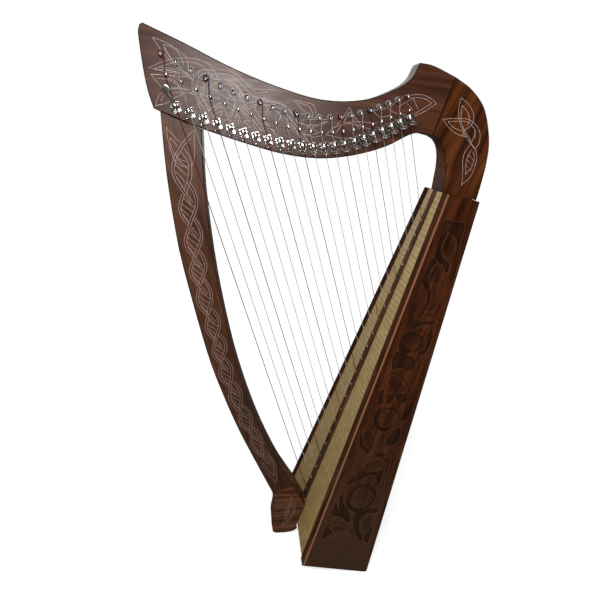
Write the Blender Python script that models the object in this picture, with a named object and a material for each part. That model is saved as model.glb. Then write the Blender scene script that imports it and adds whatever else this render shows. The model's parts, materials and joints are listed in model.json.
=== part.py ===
import bpy
import bmesh
import math
from mathutils import Matrix, Vector

# Lever harp, 22 strings. X runs from the pillar to the soundbox, Y from the near side to the far side, Z up.
# The harp stands on the foot of its pillar and on the planed back edge of its soundbox.
# Outlines are pairs of X and Z in millimetres, in the middle plane of the strings.
mm = 0.001
fit = 0.3 * mm

# soundbox, measured square to its own base, which is leaned back by boxLean when the harp stands
boxLean = math.radians(11.08)
boxBottom = 28.4 * mm
boxTop = 736.6 * mm
boxFrontAtBottom = 28.0 * mm
boxFrontAtTop = 111.4 * mm
boxBackAtBottom = 151.2 * mm
boxBackAtTop = 166.4 * mm
boxWidthBottom = 253.6 * mm
boxWidthTop = 105.6 * mm
sideThickness = 7.0 * mm
backThickness = 5.0 * mm
baseThickness = 12.0 * mm
topBlockHeight = 18.0 * mm
braceSize = 12.0 * mm
braceDepth = 16.8 * mm
braceHeights = (0.34, 0.66)
backHoleRadii = (29.0 * mm, 25.0 * mm, 20.0 * mm)
backHoleHeights = (0.20, 0.49, 0.77)
backHoleStraight = 30.0 * mm
backHoleSides = 24

# layers on the front of the soundbox, each measured out from the front plane of the side panels
sideSetBack = 1.5 * mm
soundboardThickness = 3.0 * mm
edgeStripThickness = 1.6 * mm
edgeStripWidth = 18.0 * mm
ribThickness = 3.2 * mm
ribWidth = 24.0 * mm
innerRibThickness = 5.0 * mm
innerRibWidth = 20.0 * mm
innerRibGap = 20.0 * mm
boreSides = 6
boreReach = 20.0 * mm
ribBelowStrings = 16.8 * mm

# neck, shoulder, pillar and foot
neckThickness = 36.0 * mm
pillarThickness = 42.0 * mm
footThickness = 42.0 * mm
shoulderThicknessBottom = 56.0 * mm
edgeChamfer = 1.6 * mm
shoulderSectionCount = 25
pillarSectionCount = 25

# strings
stringCount = 22
firstStringFoot = 72.8 * mm
lastStringClear = 55.0 * mm
bassStringRadius = 0.7 * mm
trebleStringRadius = 0.42 * mm
stringHeight = 12.0 * mm
coilLength = 5.0 * mm
coilSides = 9
stringSides = 6
stringHoleRadius = 1.6 * mm
knotRadius = 2.6 * mm

# tuning pins and bridge pins
tuningPinRadius = 3.0 * mm
tuningPinNearReach = 17.5 * mm
tuningPinFarReach = 21.0 * mm
tuningKeySide = 4.8 * mm
tuningKeyLength = 13.0 * mm
tuningOffsetX = -6.6 * mm
tuningOffsetBass = 28.0 * mm
tuningOffsetTreble = 20.6 * mm
bridgePinRadius = 1.9 * mm
bridgeGrooveRadius = 1.3 * mm
bridgeHeadRadius = 2.4 * mm
bridgeNeck = 0.5 * mm
bridgeHeadHeight = 1.8 * mm
pinRoot = 2.0 * mm
pinBoreSides = 10
tuningPinSides = 10
tuningPinBevel = 1.2 * mm

# sharping levers, each a little short of its string's semitone point because the cam also tightens the string
leverShare = 0.054
leverBarrelRadius = 3.9 * mm
leverCamRadius = 5.2 * mm
leverBoreRadius = 1.6 * mm
leverAxleRadius = 1.2 * mm
leverInnerWidth = 8.4 * mm
cheekThickness = 1.3 * mm
bracketPlate = 1.4 * mm
bracketAbove = 5.6 * mm
bracketBelow = 9.4 * mm
bracketRoot = 1.0 * mm
fretHalfLength = 0.9 * mm
fretHalfWidth = 2.4 * mm
screwAlong = 6.6 * mm
screwRadius = 1.9 * mm
screwHeight = 1.3 * mm
cheekHalfBottom = 4.2 * mm
cheekHalfTop = 3.6 * mm
cheekCrown = 1.7 * mm
rivetHead = 0.4 * mm
handleReach = 24.5 * mm
handleRadius = 6.1 * mm
handleThickness = 2.0 * mm
handleSetOff = -4.0 * mm
handleTilt = math.radians(13.0)
restTilt = math.radians(70.0)
handleRim = 0.4 * mm
armSideGap = 0.2 * mm
armNarrowing = 3.0 * mm
leverSides = 12

# curves, as the points they pass through
neckTop = [(-222, 929.5), (-165, 906.5), (-100, 878.3), (-33, 855), (42, 837.5), (109, 840), (158, 858),
           (181, 874), (191, 894)]
neckBump = [(193, 896.5), (216, 893), (253, 878.5)]
neckLeft = [(-213, 815), (-220, 838), (-225.5, 872), (-229, 910), (-229, 920), (-226.5, 927.5)]
neckBottom = [(226, 790.5), (205, 794), (186, 790), (149, 771), (98, 756), (42, 749.5), (-18, 755),
              (-76, 769), (-139, 787)]
pillarJoint = [(-139, 787), (-204, 811)]
shoulderOuter = [(253, 878.5), (282, 861.5), (306.5, 834), (319.8, 790), (320.6, 755), (316.2, 722),
                 (310.8, 690.5)]
shoulderInner = [(226, 790.5), (237.5, 784), (246.5, 769), (250.8, 745), (250.8, 722), (250, 701.5)]
pillarOuter = [(-203, 811), (-199, 725), (-189, 631), (-177.5, 562), (-144, 415), (-119.5, 335), (-87.5, 249),
               (-46.5, 157), (-22, 104)]
pillarInner = [(-142, 787), (-140, 700), (-129, 592), (-114, 497), (-91, 390), (-57, 279), (-16.5, 182),
               (22, 116)]
footFront = [(-22, 104), (-18.5, 80), (-19, 58), (-22.5, 32), (-19, 4)]
footSole = [(-13, 0), (7, 0)]
footBack = [(22, 3), (31, 9.5), (33.4, 16)]
footTopRight = (22, 116)
footBackTop = (47, 69)
bridgeCurve = [(-191, 862), (-105, 825), (-27, 800.5), (43, 789.5), (106, 799), (178, 826)]
bridgeSpread = [(0, -190.3), (5, -86), (10, 8.4), (15, 93), (21, 179.7)]


# curves and points


def smoothCurve(points, steps):
    """Points on a Catmull-Rom curve through the given points, with steps short sides between two of them."""
    first = (2 * points[0][0] - points[1][0], 2 * points[0][1] - points[1][1])
    last = (2 * points[-1][0] - points[-2][0], 2 * points[-1][1] - points[-2][1])
    through = [first] + list(points) + [last]
    curve = []
    for i in range(1, len(through) - 2):
        for k in range(steps):
            t = k / steps
            around = zip(through[i - 1], through[i], through[i + 1], through[i + 2])
            curve.append(tuple(
                b + 0.5 * t * ((c - a) + (2 * a - 5 * b + 4 * c - d) * t + (3 * b - 3 * c + d - a) * t * t)
                for a, b, c, d in around))
    curve.append(points[-1])
    return curve


def heightOn(points, x):
    """Second value of the smooth curve through the points where its first value is x."""
    curve = smoothCurve(points, 12)
    for a, b in zip(curve, curve[1:]):
        if a[0] <= x <= b[0]:
            return a[1] + (b[1] - a[1]) * (x - a[0]) / (b[0] - a[0])
    a, b = (curve[0], curve[1]) if x < curve[0][0] else (curve[-2], curve[-1])
    return a[1] + (b[1] - a[1]) * (x - a[0]) / (b[0] - a[0])


def evenly(points, count):
    """The same curve as count points, equally far apart along it."""
    reach = [0.0]
    for a, b in zip(points, points[1:]):
        reach.append(reach[-1] + math.dist(a, b))
    spread = []
    k = 0
    for i in range(count):
        wanted = reach[-1] * i / (count - 1)
        while k < len(points) - 2 and reach[k + 1] < wanted:
            k += 1
        t = (wanted - reach[k]) / (reach[k + 1] - reach[k])
        spread.append(tuple(a + (b - a) * t for a, b in zip(points[k], points[k + 1])))
    return spread


def metres(points):
    return [(x * mm, z * mm) for x, z in points]


def standing(x, z):
    """Turns a point of the upright soundbox into the leaned-back harp."""
    return (x * math.cos(boxLean) + z * math.sin(boxLean), z * math.cos(boxLean) - x * math.sin(boxLean))


def between(low, high, z):
    return low + (high - low) * (z - boxBottom) / (boxTop - boxBottom)


def boxFront(z):
    return between(boxFrontAtBottom, boxFrontAtTop, z)


def boxBack(z):
    return between(boxBackAtBottom, boxBackAtTop, z)


def boxHalfWidth(z):
    return between(boxWidthBottom, boxWidthTop, z) / 2


frontFoot = Vector((boxFrontAtBottom, boxBottom))
frontAlong = (Vector((boxFrontAtTop, boxTop)) - frontFoot).normalized()
frontOut = Vector((-frontAlong.y, frontAlong.x))


def onFront(along, out):
    """Point of the upright soundbox at a distance along its front edge and out from it."""
    point = frontFoot + frontAlong * along + frontOut * out
    return (point.x, point.y)


# mesh building


def addObject(name, mesh, material, location=(0, 0, 0)):
    obj = bpy.data.objects.new(name, mesh)
    obj.location = location
    bpy.context.scene.collection.objects.link(obj)
    if material is not None:
        mesh.materials.append(material)
    return obj


def meshFrom(name, verts, faces):
    mesh = bpy.data.meshes.new(name)
    mesh.from_pydata([tuple(v) for v in verts], [], faces)
    body = bmesh.new()
    body.from_mesh(mesh)
    bmesh.ops.remove_doubles(body, verts=body.verts, dist=0.00001)
    bmesh.ops.recalc_face_normals(body, faces=body.faces)
    body.to_mesh(mesh)
    body.free()
    return mesh


def loftInto(verts, faces, rings):
    """Adds a closed body through rings of equal count, with a flat cap at both ends."""
    start = len(verts)
    count = len(rings[0])
    for ring in rings:
        verts.extend(ring)
    for r in range(len(rings) - 1):
        for i in range(count):
            j = (i + 1) % count
            a = start + r * count
            faces.append((a + i, a + j, a + count + j, a + count + i))
    faces.append(tuple(start + i for i in reversed(range(count))))
    faces.append(tuple(start + (len(rings) - 1) * count + i for i in range(count)))


def loft(name, rings):
    verts, faces = [], []
    loftInto(verts, faces, rings)
    return meshFrom(name, verts, faces)


def inset(outline, amount):
    """Moves each side of a closed outline inwards by amount."""
    area = sum(a[0] * b[1] - b[0] * a[1] for a, b in zip(outline, outline[1:] + outline[:1]))
    turn = 1.0 if area > 0 else -1.0
    moved = []
    for i, here in enumerate(outline):
        before = Vector(here) - Vector(outline[i - 1])
        after = Vector(outline[(i + 1) % len(outline)]) - Vector(here)
        before.normalize()
        after.normalize()
        normalA = Vector((-before.y, before.x)) * turn
        normalB = Vector((-after.y, after.x)) * turn
        corner = (normalA + normalB).normalized()
        moved.append(Vector(here) + corner * amount / max(0.5, corner.dot(normalA)))
    return [(p.x, p.y) for p in moved]


def slab(name, outline, half):
    """Flat body of the outline with chamfered edges, from -half to half in Y."""
    small = inset(outline, edgeChamfer)
    layers = ((small, -half), (outline, -half + edgeChamfer), (outline, half - edgeChamfer), (small, half))
    return loft(name, [[(x, y, z) for x, z in flat] for flat, y in layers])


def clipToFloor(outline):
    """Cuts an outline of the upright soundbox where it would pass below the floor of the standing harp."""
    depth = [standing(x, z)[1] for x, z in outline]
    kept = []
    for i, here in enumerate(outline):
        j = (i + 1) % len(outline)
        if depth[i] >= 0:
            kept.append(here)
        if (depth[i] < 0) != (depth[j] < 0):
            t = depth[i] / (depth[i] - depth[j])
            kept.append((here[0] + (outline[j][0] - here[0]) * t, here[1] + (outline[j][1] - here[1]) * t))
    return kept


def boxPiece(name, outline, nearY, farY):
    """Body of an upright soundbox outline between two widths that change with height, leaned back."""
    flat = clipToFloor(outline)
    rings = []
    for depth in (nearY, farY):
        rings.append([(standing(x, z)[0], depth(z), standing(x, z)[1]) for x, z in flat])
    return loft(name, rings)


def joined(target, tool, operation):
    """Applies one exact boolean between two objects and removes the tool."""
    change = target.modifiers.new("change", "BOOLEAN")
    change.operation = operation
    change.solver = "EXACT"
    change.object = tool
    bpy.context.view_layer.update()
    graph = bpy.context.evaluated_depsgraph_get()
    result = bpy.data.meshes.new_from_object(target.evaluated_get(graph))
    target.modifiers.clear()
    target.data = result
    bpy.data.objects.remove(tool)


def tubeInto(verts, faces, path, radius, sides):
    """Adds a round cord along a path, with each ring square to the mean direction of its two sides."""
    rings = []
    side = None
    for i, here in enumerate(path):
        ahead = (path[min(i + 1, len(path) - 1)] - path[max(i - 1, 0)]).normalized()
        if side is None:
            side = ahead.orthogonal().normalized()
        side = (side - ahead * side.dot(ahead)).normalized()
        up = ahead.cross(side)
        rings.append([here + (side * math.cos(a) + up * math.sin(a)) * radius
                      for a in (2 * math.pi * k / sides for k in range(sides))])
    loftInto(verts, faces, rings)


def turnedInto(verts, faces, centre, axis, across, profile, sides):
    """Adds a turned body about an axis, from pairs of distance along it and radius."""
    up = axis.cross(across)
    rings = []
    for distance, radius in profile:
        rings.append([centre + axis * distance + (across * math.cos(a) + up * math.sin(a)) * radius
                      for a in (2 * math.pi * (k + 0.5) / sides for k in range(sides))])
    loftInto(verts, faces, rings)


def boxInto(verts, faces, origin, axes, low, high):
    """Adds a rectangular block given by its low and high corners along three axes."""
    rings = []
    corners = ((low[0], low[1]), (high[0], low[1]), (high[0], high[1]), (low[0], high[1]))
    for c in (low[2], high[2]):
        rings.append([origin + axes[0] * a + axes[1] * b + axes[2] * c for a, b in corners])
    loftInto(verts, faces, rings)


def shadeRound(obj, angle):
    """Rounded shading that keeps the edges sharper than the angle."""
    mesh = obj.data
    body = bmesh.new()
    body.from_mesh(mesh)
    for face in body.faces:
        face.smooth = True
    for edge in body.edges:
        edge.smooth = len(edge.link_faces) == 2 and edge.calc_face_angle(0.0) < angle
    body.to_mesh(mesh)
    body.free()


# materials


def material(name, colour, roughness, metallic):
    made = bpy.data.materials.new(name)
    made.use_nodes = True
    shader = made.node_tree.nodes["Principled BSDF"]
    shader.inputs["Base Color"].default_value = (*colour, 1)
    shader.inputs["Roughness"].default_value = roughness
    shader.inputs["Metallic"].default_value = metallic
    return made


def neckWood():
    return material("neckRosewood", (0.115, 0.055, 0.036), 0.38, 0.0)


def shoulderWood():
    return material("shoulderRosewood", (0.15, 0.06, 0.032), 0.36, 0.0)


def pillarWood():
    return material("pillarRosewood", (0.12, 0.05, 0.03), 0.38, 0.0)


def footWood():
    return material("footRosewood", (0.14, 0.055, 0.03), 0.38, 0.0)


def panelWood(name):
    return material(name, (0.065, 0.03, 0.02), 0.42, 0.0)


def stripWood(name):
    return material(name, (0.08, 0.035, 0.022), 0.4, 0.0)


def boardWood(name):
    return material(name, (0.42, 0.33, 0.18), 0.5, 0.0)


def hiddenWood(name):
    return material(name, (0.3, 0.2, 0.1), 0.6, 0.0)


def nylon():
    return material("nylon", (0.6, 0.58, 0.54), 0.3, 0.0)


def chrome(name):
    return material(name, (0.72, 0.71, 0.69), 0.18, 1.0)


# where each string runs


class StringRun:
    """The route of one string: round its tuning pin, past its bridge pin and lever, and down to the rib."""

    def __init__(self, index):
        part = index / (stringCount - 1)
        self.number = index + 1
        self.radius = bassStringRadius + (trebleStringRadius - bassStringRadius) * part
        x = heightOn(bridgeSpread, index)
        self.bridge = Vector((x, heightOn(bridgeCurve, x))) * mm
        rise = tuningOffsetTreble + (tuningOffsetBass - tuningOffsetTreble) * (1 - part) ** 2
        self.tuning = self.bridge + Vector((tuningOffsetX, rise))
        self.footAlong = firstStringFoot + part * (boardLength() - firstStringFoot - lastStringClear)
        self.foot = Vector(standing(*onFront(self.footAlong, ribTopOut())))
        touch = bridgeGrooveRadius + self.radius + fit
        self.across = Vector((1, 0))
        for _ in range(3):
            # the string lies on the pillar side of its bridge pin, square to its own direction
            self.start = self.bridge - self.across * touch
            self.along = (self.foot - self.start).normalized()
            self.across = Vector((-self.along.y, self.along.x))
        self.startY = -neckThickness / 2 - stringHeight
        self.length = (self.foot - self.start).length
        self.lever = self.start + self.along * self.length * leverShare
        self.leverY = self.startY * (1 - leverShare)
        self.coilRadius = tuningPinRadius + fit + self.radius

    def stringPoint(self, flat, y):
        return Vector((flat.x, y, flat.y))

    def leavesCoil(self):
        """Point where the straight string leaves the coil on the soundbox side of the tuning pin."""
        way = self.start - self.tuning
        turn = math.acos(self.coilRadius / way.length)
        angle = math.atan2(way.y, way.x) + turn
        return self.tuning + Vector((math.cos(angle), math.sin(angle))) * self.coilRadius


def ribTopOut():
    return ribBottomOut() + ribThickness


def ribBottomOut():
    return soundboardOut() + fit


def soundboardOut():
    return fit - sideSetBack + soundboardThickness


# wooden frame


def buildNeck(runs):
    top = smoothCurve(neckTop, 4)
    bump = smoothCurve(neckBump, 4)
    left = smoothCurve(neckLeft, 2)
    bottom = smoothCurve(neckBottom, 4)
    outline = metres(left + top + bump + bottom + [pillarJoint[1]])
    neck = addObject("neck", slab("neck", outline, neckThickness / 2), neckWood())
    verts, faces = [], []
    for run in runs:
        centre = run.stringPoint(run.tuning, -neckThickness)
        turnedInto(verts, faces, centre, Vector((0, 1, 0)), Vector((1, 0, 0)),
                   [(0, tuningPinRadius + fit), (2 * neckThickness, tuningPinRadius + fit)], pinBoreSides)
    joined(neck, addObject("pinBores", meshFrom("pinBores", verts, faces), None), "DIFFERENCE")
    joined(neck, addObject("bridgePins", bridgePins(runs), None), "UNION")
    for name, build in (("brackets", bracketBases), ("cheeks", bracketCheeks), ("axles", bracketAxles)):
        joined(neck, addObject(name, build(runs), None), "UNION")
    shadeRound(neck, math.radians(35))
    return neck


def bridgePins(runs):
    """Pins with a groove for the string and a domed head, each rooted in the near face of the neck."""
    verts, faces = [], []
    for run in runs:
        groove = run.radius + fit
        low = stringHeight - groove
        high = stringHeight + groove
        profile = [(-pinRoot, bridgePinRadius), (low - bridgeNeck, bridgePinRadius),
                   (low, bridgeGrooveRadius), (high, bridgeGrooveRadius),
                   (high + bridgeNeck, bridgeHeadRadius), (high + bridgeHeadHeight, bridgeHeadRadius * 0.55)]
        root = run.stringPoint(run.bridge, -neckThickness / 2)
        turnedInto(verts, faces, root, Vector((0, -1, 0)), Vector((1, 0, 0)), profile, 8)
    return meshFrom("bridgePins", verts, faces)


def leverAxes(run):
    """Directions along the string, across it and out from the neck."""
    along = Vector((run.along.x, 0, run.along.y))
    across = Vector((run.across.x, 0, run.across.y))
    return (along, across, Vector((0, -1, 0)))


def leverRoot(run):
    return run.stringPoint(run.lever, -neckThickness / 2)


def stringOut(run):
    return -run.leverY - neckThickness / 2


def axleOut(run):
    """Height of the lever axle over the neck, so that the cam just reaches the string."""
    return stringOut(run) + run.radius + fit + leverCamRadius


def bracketBases(runs):
    """Screwed plate of each lever bracket with the fret that stands under the string."""
    verts, faces = [], []
    half = leverInnerWidth / 2 + cheekThickness
    for run in runs:
        boxInto(verts, faces, leverRoot(run), leverAxes(run), (-bracketAbove, -half, -bracketRoot),
                (bracketBelow, half, bracketPlate))
    plates = addObject("plates", meshFrom("plates", verts, faces), None)
    verts, faces = [], []
    for run in runs:
        fretTop = stringOut(run) - run.radius - fit
        low = (-fretHalfLength, -fretHalfWidth, bracketPlate / 2)
        boxInto(verts, faces, leverRoot(run), leverAxes(run), low, (fretHalfLength, fretHalfWidth, fretTop))
        screw = leverRoot(run) + leverAxes(run)[0] * screwAlong
        turnedInto(verts, faces, screw, Vector((0, -1, 0)), leverAxes(run)[0],
                   [(bracketPlate / 2, screwRadius), (bracketPlate + screwHeight, 0.8 * screwRadius)], 8)
    joined(plates, addObject("frets", meshFrom("frets", verts, faces), None), "UNION")
    mesh = plates.data.copy()
    bpy.data.objects.remove(plates)
    return mesh


def bracketCheeks(runs):
    """Two upright cheeks of each bracket, one at each side of the string."""
    verts, faces = [], []
    inner = leverInnerWidth / 2
    for run in runs:
        for low, high in ((-inner - cheekThickness, -inner), (inner, inner + cheekThickness)):
            top = axleOut(run) + leverAxleRadius
            rings = []
            for across in (low, high):
                crown = top + cheekCrown
                foot = bracketPlate / 2
                outline = [(-cheekHalfBottom, foot), (cheekHalfBottom, foot), (cheekHalfTop, top),
                           (cheekCrown, crown), (-cheekCrown, crown), (-cheekHalfTop, top)]
                along, side, out = leverAxes(run)
                rings.append([leverRoot(run) + along * a + side * across + out * c for a, c in outline])
            loftInto(verts, faces, rings)
    return meshFrom("cheeks", verts, faces)


def bracketAxles(runs):
    """Rivet through both cheeks that the lever turns on."""
    verts, faces = [], []
    reach = leverInnerWidth / 2 + cheekThickness + rivetHead
    for run in runs:
        along, side, out = leverAxes(run)
        centre = leverRoot(run) + out * axleOut(run)
        profile = [(-reach, leverAxleRadius), (reach, leverAxleRadius)]
        turnedInto(verts, faces, centre, side, along, profile, 7)
    return meshFrom("axles", verts, faces)


def buildShoulder():
    """Bent block from the neck to the soundbox, as sections that widen towards the soundbox."""
    inner = evenly(smoothCurve(shoulderInner, 6), shoulderSectionCount)
    outer = evenly(smoothCurve(shoulderOuter, 6), shoulderSectionCount)
    top = Vector(standing(boxFrontAtTop, boxTop + fit)), Vector(standing(boxBackAtTop, boxTop + fit))
    lastInner = Vector(inner[-1]) * mm
    lastOuter = Vector(outer[-1]) * mm
    base = (top[1] - top[0]).normalized()
    inner = [Vector(p) * mm for p in inner[:-1]] + [top[0] + base * (lastInner - top[0]).dot(base)]
    outer = [Vector(p) * mm for p in outer[:-1]] + [top[0] + base * (lastOuter - top[0]).dot(base)]
    joint = (outer[0] - inner[0]).normalized()
    shift = Vector((joint.y, -joint.x)) * fit
    inner[0] += shift
    outer[0] += shift
    rings = []
    for i, (a, b) in enumerate(zip(inner, outer)):
        t = min(1.0, max(0.0, (i / (len(inner) - 1) - 0.15) / 0.85))
        half = (neckThickness + (shoulderThicknessBottom - neckThickness) * t * t * (3 - 2 * t)) / 2
        rings.append(chamferedSection(a, b, half))
    shoulder = addObject("shoulder", loft("shoulder", rings), shoulderWood())
    shadeRound(shoulder, math.radians(40))
    return shoulder


def chamferedSection(a, b, half):
    """Ring round a bar whose two sides pass through a and b, with its corners cut off."""
    way = (b - a).normalized()
    cut = edgeChamfer
    flat = [(a, -half + cut), (a + way * cut, -half), (b - way * cut, -half), (b, -half + cut),
            (b, half - cut), (b - way * cut, half), (a + way * cut, half), (a, half - cut)]
    return [(p.x, y, p.y) for p, y in flat]


def buildPillar():
    """Bowed pillar as sections between its two curves, with a gap at the neck and at the foot."""
    outer = [Vector(p) * mm for p in evenly(smoothCurve(pillarOuter, 6), pillarSectionCount)]
    inner = [Vector(p) * mm for p in evenly(smoothCurve(pillarInner, 6), pillarSectionCount)]
    for curve in (outer, inner):
        curve[0] = curve[0] + (curve[1] - curve[0]).normalized() * 2 * fit
        curve[-1] = curve[-1] + (curve[-2] - curve[-1]).normalized() * 2 * fit
    rings = [chamferedSection(a, b, pillarThickness / 2) for a, b in zip(outer, inner)]
    pillar = addObject("pillar", loft("pillar", rings), pillarWood())
    shadeRound(pillar, math.radians(40))
    return pillar


def buildFoot():
    """Foot block under the pillar, cut along the face of the soundboard that it stands against."""
    out = soundboardOut() + fit
    low = Vector(standing(*onFront(0, out)))
    along = (Vector(standing(*onFront(1, out))) - low).normalized()
    topRight = Vector(footTopRight) * mm
    bottomRight = Vector(footBack[-1]) * mm
    upper = low + along * (Vector(footBackTop) * mm - low).dot(along)
    lower = low + along * (bottomRight - low).dot(along)
    heel = smoothCurve(footSole[-1:] + footBack[:-1], 3)
    outline = metres(smoothCurve(footFront, 3) + footSole[:-1] + heel)
    outline += [(lower.x, lower.y), (upper.x, upper.y), (topRight.x, topRight.y)]
    foot = addObject("foot_block", slab("foot_block", outline, footThickness / 2), footWood())
    shadeRound(foot, math.radians(35))
    return foot


# soundbox


def boxQuad(low, high, lowZ, highZ):
    """Outline between two edges of the upright soundbox, from one height to another."""
    return [(low(lowZ), lowZ), (high(lowZ), lowZ), (high(highZ), highZ), (low(highZ), highZ)]


def layer(bottomOut, topOut, start, end):
    """Outline of a board that lies along the front of the soundbox."""
    return [onFront(start, bottomOut), onFront(start, topOut), onFront(end, topOut), onFront(end, bottomOut)]


def frontInner(z):
    return boxFront(z) + sideSetBack


def backInner(z):
    return boxBack(z) - backThickness - fit


def buildSides():
    outline = boxQuad(frontInner, backInner, boxBottom, boxTop)
    made = []
    for name, sign in (("side_panel_near", -1), ("side_panel_far", 1)):
        mesh = boxPiece(name, outline, lambda z: sign * boxHalfWidth(z),
                        lambda z: sign * (boxHalfWidth(z) - sideThickness))
        made.append(addObject(name, mesh, panelWood(name + "Wood")))
    return made


def buildBack():
    outline = boxQuad(lambda z: boxBack(z) - backThickness, boxBack, boxBottom, boxTop)
    mesh = boxPiece("back_panel", outline, lambda z: -boxHalfWidth(z), boxHalfWidth)
    back = addObject("back_panel", mesh, panelWood("backPanelWood"))
    verts, faces = [], []
    for radius, share in zip(backHoleRadii, backHoleHeights):
        z = boxBottom + (boxTop - boxBottom) * share
        rings = []
        for x in (boxBack(z) - 4 * backThickness, boxBack(z) + 4 * backThickness):
            ring = []
            for k in range(backHoleSides):
                angle = 2 * math.pi * (k + 0.5) / backHoleSides
                rise = backHoleStraight / 2 if math.sin(angle) > 0 else -backHoleStraight / 2
                flat = standing(x, z + radius * math.sin(angle) + rise)
                ring.append((flat[0], radius * math.cos(angle), flat[1]))
            rings.append(ring)
        loftInto(verts, faces, rings)
    joined(back, addObject("soundHoles", meshFrom("soundHoles", verts, faces), None), "DIFFERENCE")
    shadeRound(back, math.radians(35))
    return back


def insideWidth(z):
    return boxHalfWidth(z) - sideThickness - fit


def buildBase():
    outline = boxQuad(lambda z: frontInner(z) + fit, backInner, boxBottom, boxBottom + baseThickness)
    mesh = boxPiece("base_panel", outline, lambda z: -insideWidth(z), insideWidth)
    return addObject("base_panel", mesh, panelWood("basePanelWood"))


def buildTopBlock():
    outline = boxQuad(lambda z: frontInner(z) + fit, backInner, boxTop - topBlockHeight, boxTop)
    mesh = boxPiece("top_block", outline, lambda z: -insideWidth(z), insideWidth)
    return addObject("top_block", mesh, hiddenWood("topBlockWood"))


def buildBraces():
    made = []
    for name, share in zip(("brace_lower", "brace_upper"), braceHeights):
        z = boxBottom + (boxTop - boxBottom) * share
        outline = boxQuad(lambda h: backInner(h) - braceDepth, backInner, z, z + braceSize)
        mesh = boxPiece(name, outline, lambda h: -insideWidth(h), insideWidth)
        made.append(addObject(name, mesh, hiddenWood(name + "Wood")))
    return made


def boardLength():
    return (boxTop - boxBottom) / frontAlong.y


def stringBores(runs, radius):
    """Rods square to the soundboard, one where each string goes through."""
    verts, faces = [], []
    for run in runs:
        ends = [Vector(standing(*onFront(run.footAlong, out))) for out in (-boreReach, boreReach)]
        way = Vector((ends[1].x - ends[0].x, 0, ends[1].y - ends[0].y)).normalized()
        turnedInto(verts, faces, run.stringPoint(ends[0], 0), way, Vector((0, 1, 0)),
                   [(0, radius), (2 * boreReach, radius)], boreSides)
    return meshFrom("stringBores", verts, faces)


def buildSoundboard(runs):
    outline = layer(fit - sideSetBack, soundboardOut(), 0, boardLength())
    mesh = boxPiece("soundboard", outline, lambda z: -boxHalfWidth(z), boxHalfWidth)
    board = addObject("soundboard", mesh, boardWood("soundboardBirch"))
    joined(board, addObject("bores", stringBores(runs, stringHoleRadius), None), "DIFFERENCE")
    return board


def buildEdgeStrips():
    outline = layer(ribBottomOut(), ribBottomOut() + edgeStripThickness, 0, boardLength())
    made = []
    for name, sign in (("edge_strip_near", -1), ("edge_strip_far", 1)):
        mesh = boxPiece(name, outline, lambda z: sign * boxHalfWidth(z),
                        lambda z: sign * (boxHalfWidth(z) - edgeStripWidth))
        made.append(addObject(name, mesh, stripWood(name + "Wood")))
    return made


def buildInnerRib(runs):
    top = -sideSetBack
    end = boardLength() - topBlockHeight - 0.2 * innerRibGap
    outline = layer(top - innerRibThickness, top, baseThickness + innerRibGap, end)
    half = innerRibWidth / 2
    mesh = boxPiece("inner_string_rib", outline, lambda z: -half, lambda z: half)
    rib = addObject("inner_string_rib", mesh, hiddenWood("innerRibWood"))
    joined(rib, addObject("bores", stringBores(runs, stringHoleRadius), None), "DIFFERENCE")
    return rib


# strings, in one node with the outer rib that they are drawn through


def buildStrings(runs):
    half = ribWidth / 2
    outline = layer(ribBottomOut(), ribTopOut(), firstStringFoot - ribBelowStrings, boardLength())
    mesh = boxPiece("string_rib_with_strings", outline, lambda z: -half, lambda z: half)
    rib = addObject("string_rib_with_strings", mesh, stripWood("stringRibWood"))
    for name, build in (("coils", stringCoils), ("tails", stringTails), ("spans", stringSpans)):
        joined(rib, addObject(name, build(runs), nylon() if name == "spans" else None), "UNION")
    shadeRound(rib, math.radians(50))
    return rib


def stringSpans(runs):
    """Straight run of each string: off its coil, past the bridge pin and into the rib."""
    verts, faces = [], []
    for run in runs:
        leave = run.leavesCoil()
        way = (run.start - leave).normalized()
        path = [run.stringPoint(leave - way * 0.6 * run.radius, run.startY),
                run.stringPoint(run.start, run.startY)]
        end = Vector(standing(*onFront(run.footAlong, ribTopOut() - 0.5 * ribThickness)))
        path.append(run.stringPoint(end, 0))
        tubeInto(verts, faces, path, run.radius, stringSides)
    return meshFrom("spans", verts, faces)


def stringCoils(runs):
    """Wound turns of each string on its tuning pin, as one sleeve that leaves the pin free to turn."""
    verts, faces = [], []
    for run in runs:
        inside = tuningPinRadius + fit
        outside = inside + 2 * run.radius
        start = len(verts)
        half = coilLength / 2
        for y, radius in ((-half, inside), (-half, outside), (half, outside), (half, inside)):
            for k in range(coilSides):
                angle = 2 * math.pi * k / coilSides
                flat = run.tuning + Vector((math.cos(angle), math.sin(angle))) * radius
                verts.append(run.stringPoint(flat, run.startY + y))
        for ring in range(4):
            for k in range(coilSides):
                a = start + ring * coilSides
                b = start + (ring + 1) % 4 * coilSides
                faces.append((a + k, a + (k + 1) % coilSides, b + (k + 1) % coilSides, b + k))
    return meshFrom("coils", verts, faces)


def stringTails(runs):
    """End of each string behind the rib: through both boards to the knot that holds it."""
    verts, faces = [], []
    for run in runs:
        top = Vector(standing(*onFront(run.footAlong, ribTopOut() - 0.6 * ribThickness)))
        knotTop = -sideSetBack - innerRibThickness - fit
        end = Vector(standing(*onFront(run.footAlong, knotTop)))
        way = Vector((end.x - top.x, 0, end.y - top.y))
        reach = way.length
        profile = [(0, run.radius), (reach, run.radius), (reach, 0.75 * knotRadius),
                   (reach + knotRadius, knotRadius), (reach + 1.8 * knotRadius, 0.5 * knotRadius)]
        root = run.stringPoint(top, 0)
        turnedInto(verts, faces, root, way.normalized(), Vector((0, 1, 0)), profile, stringSides)
    return meshFrom("tails", verts, faces)


# moving pieces


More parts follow.
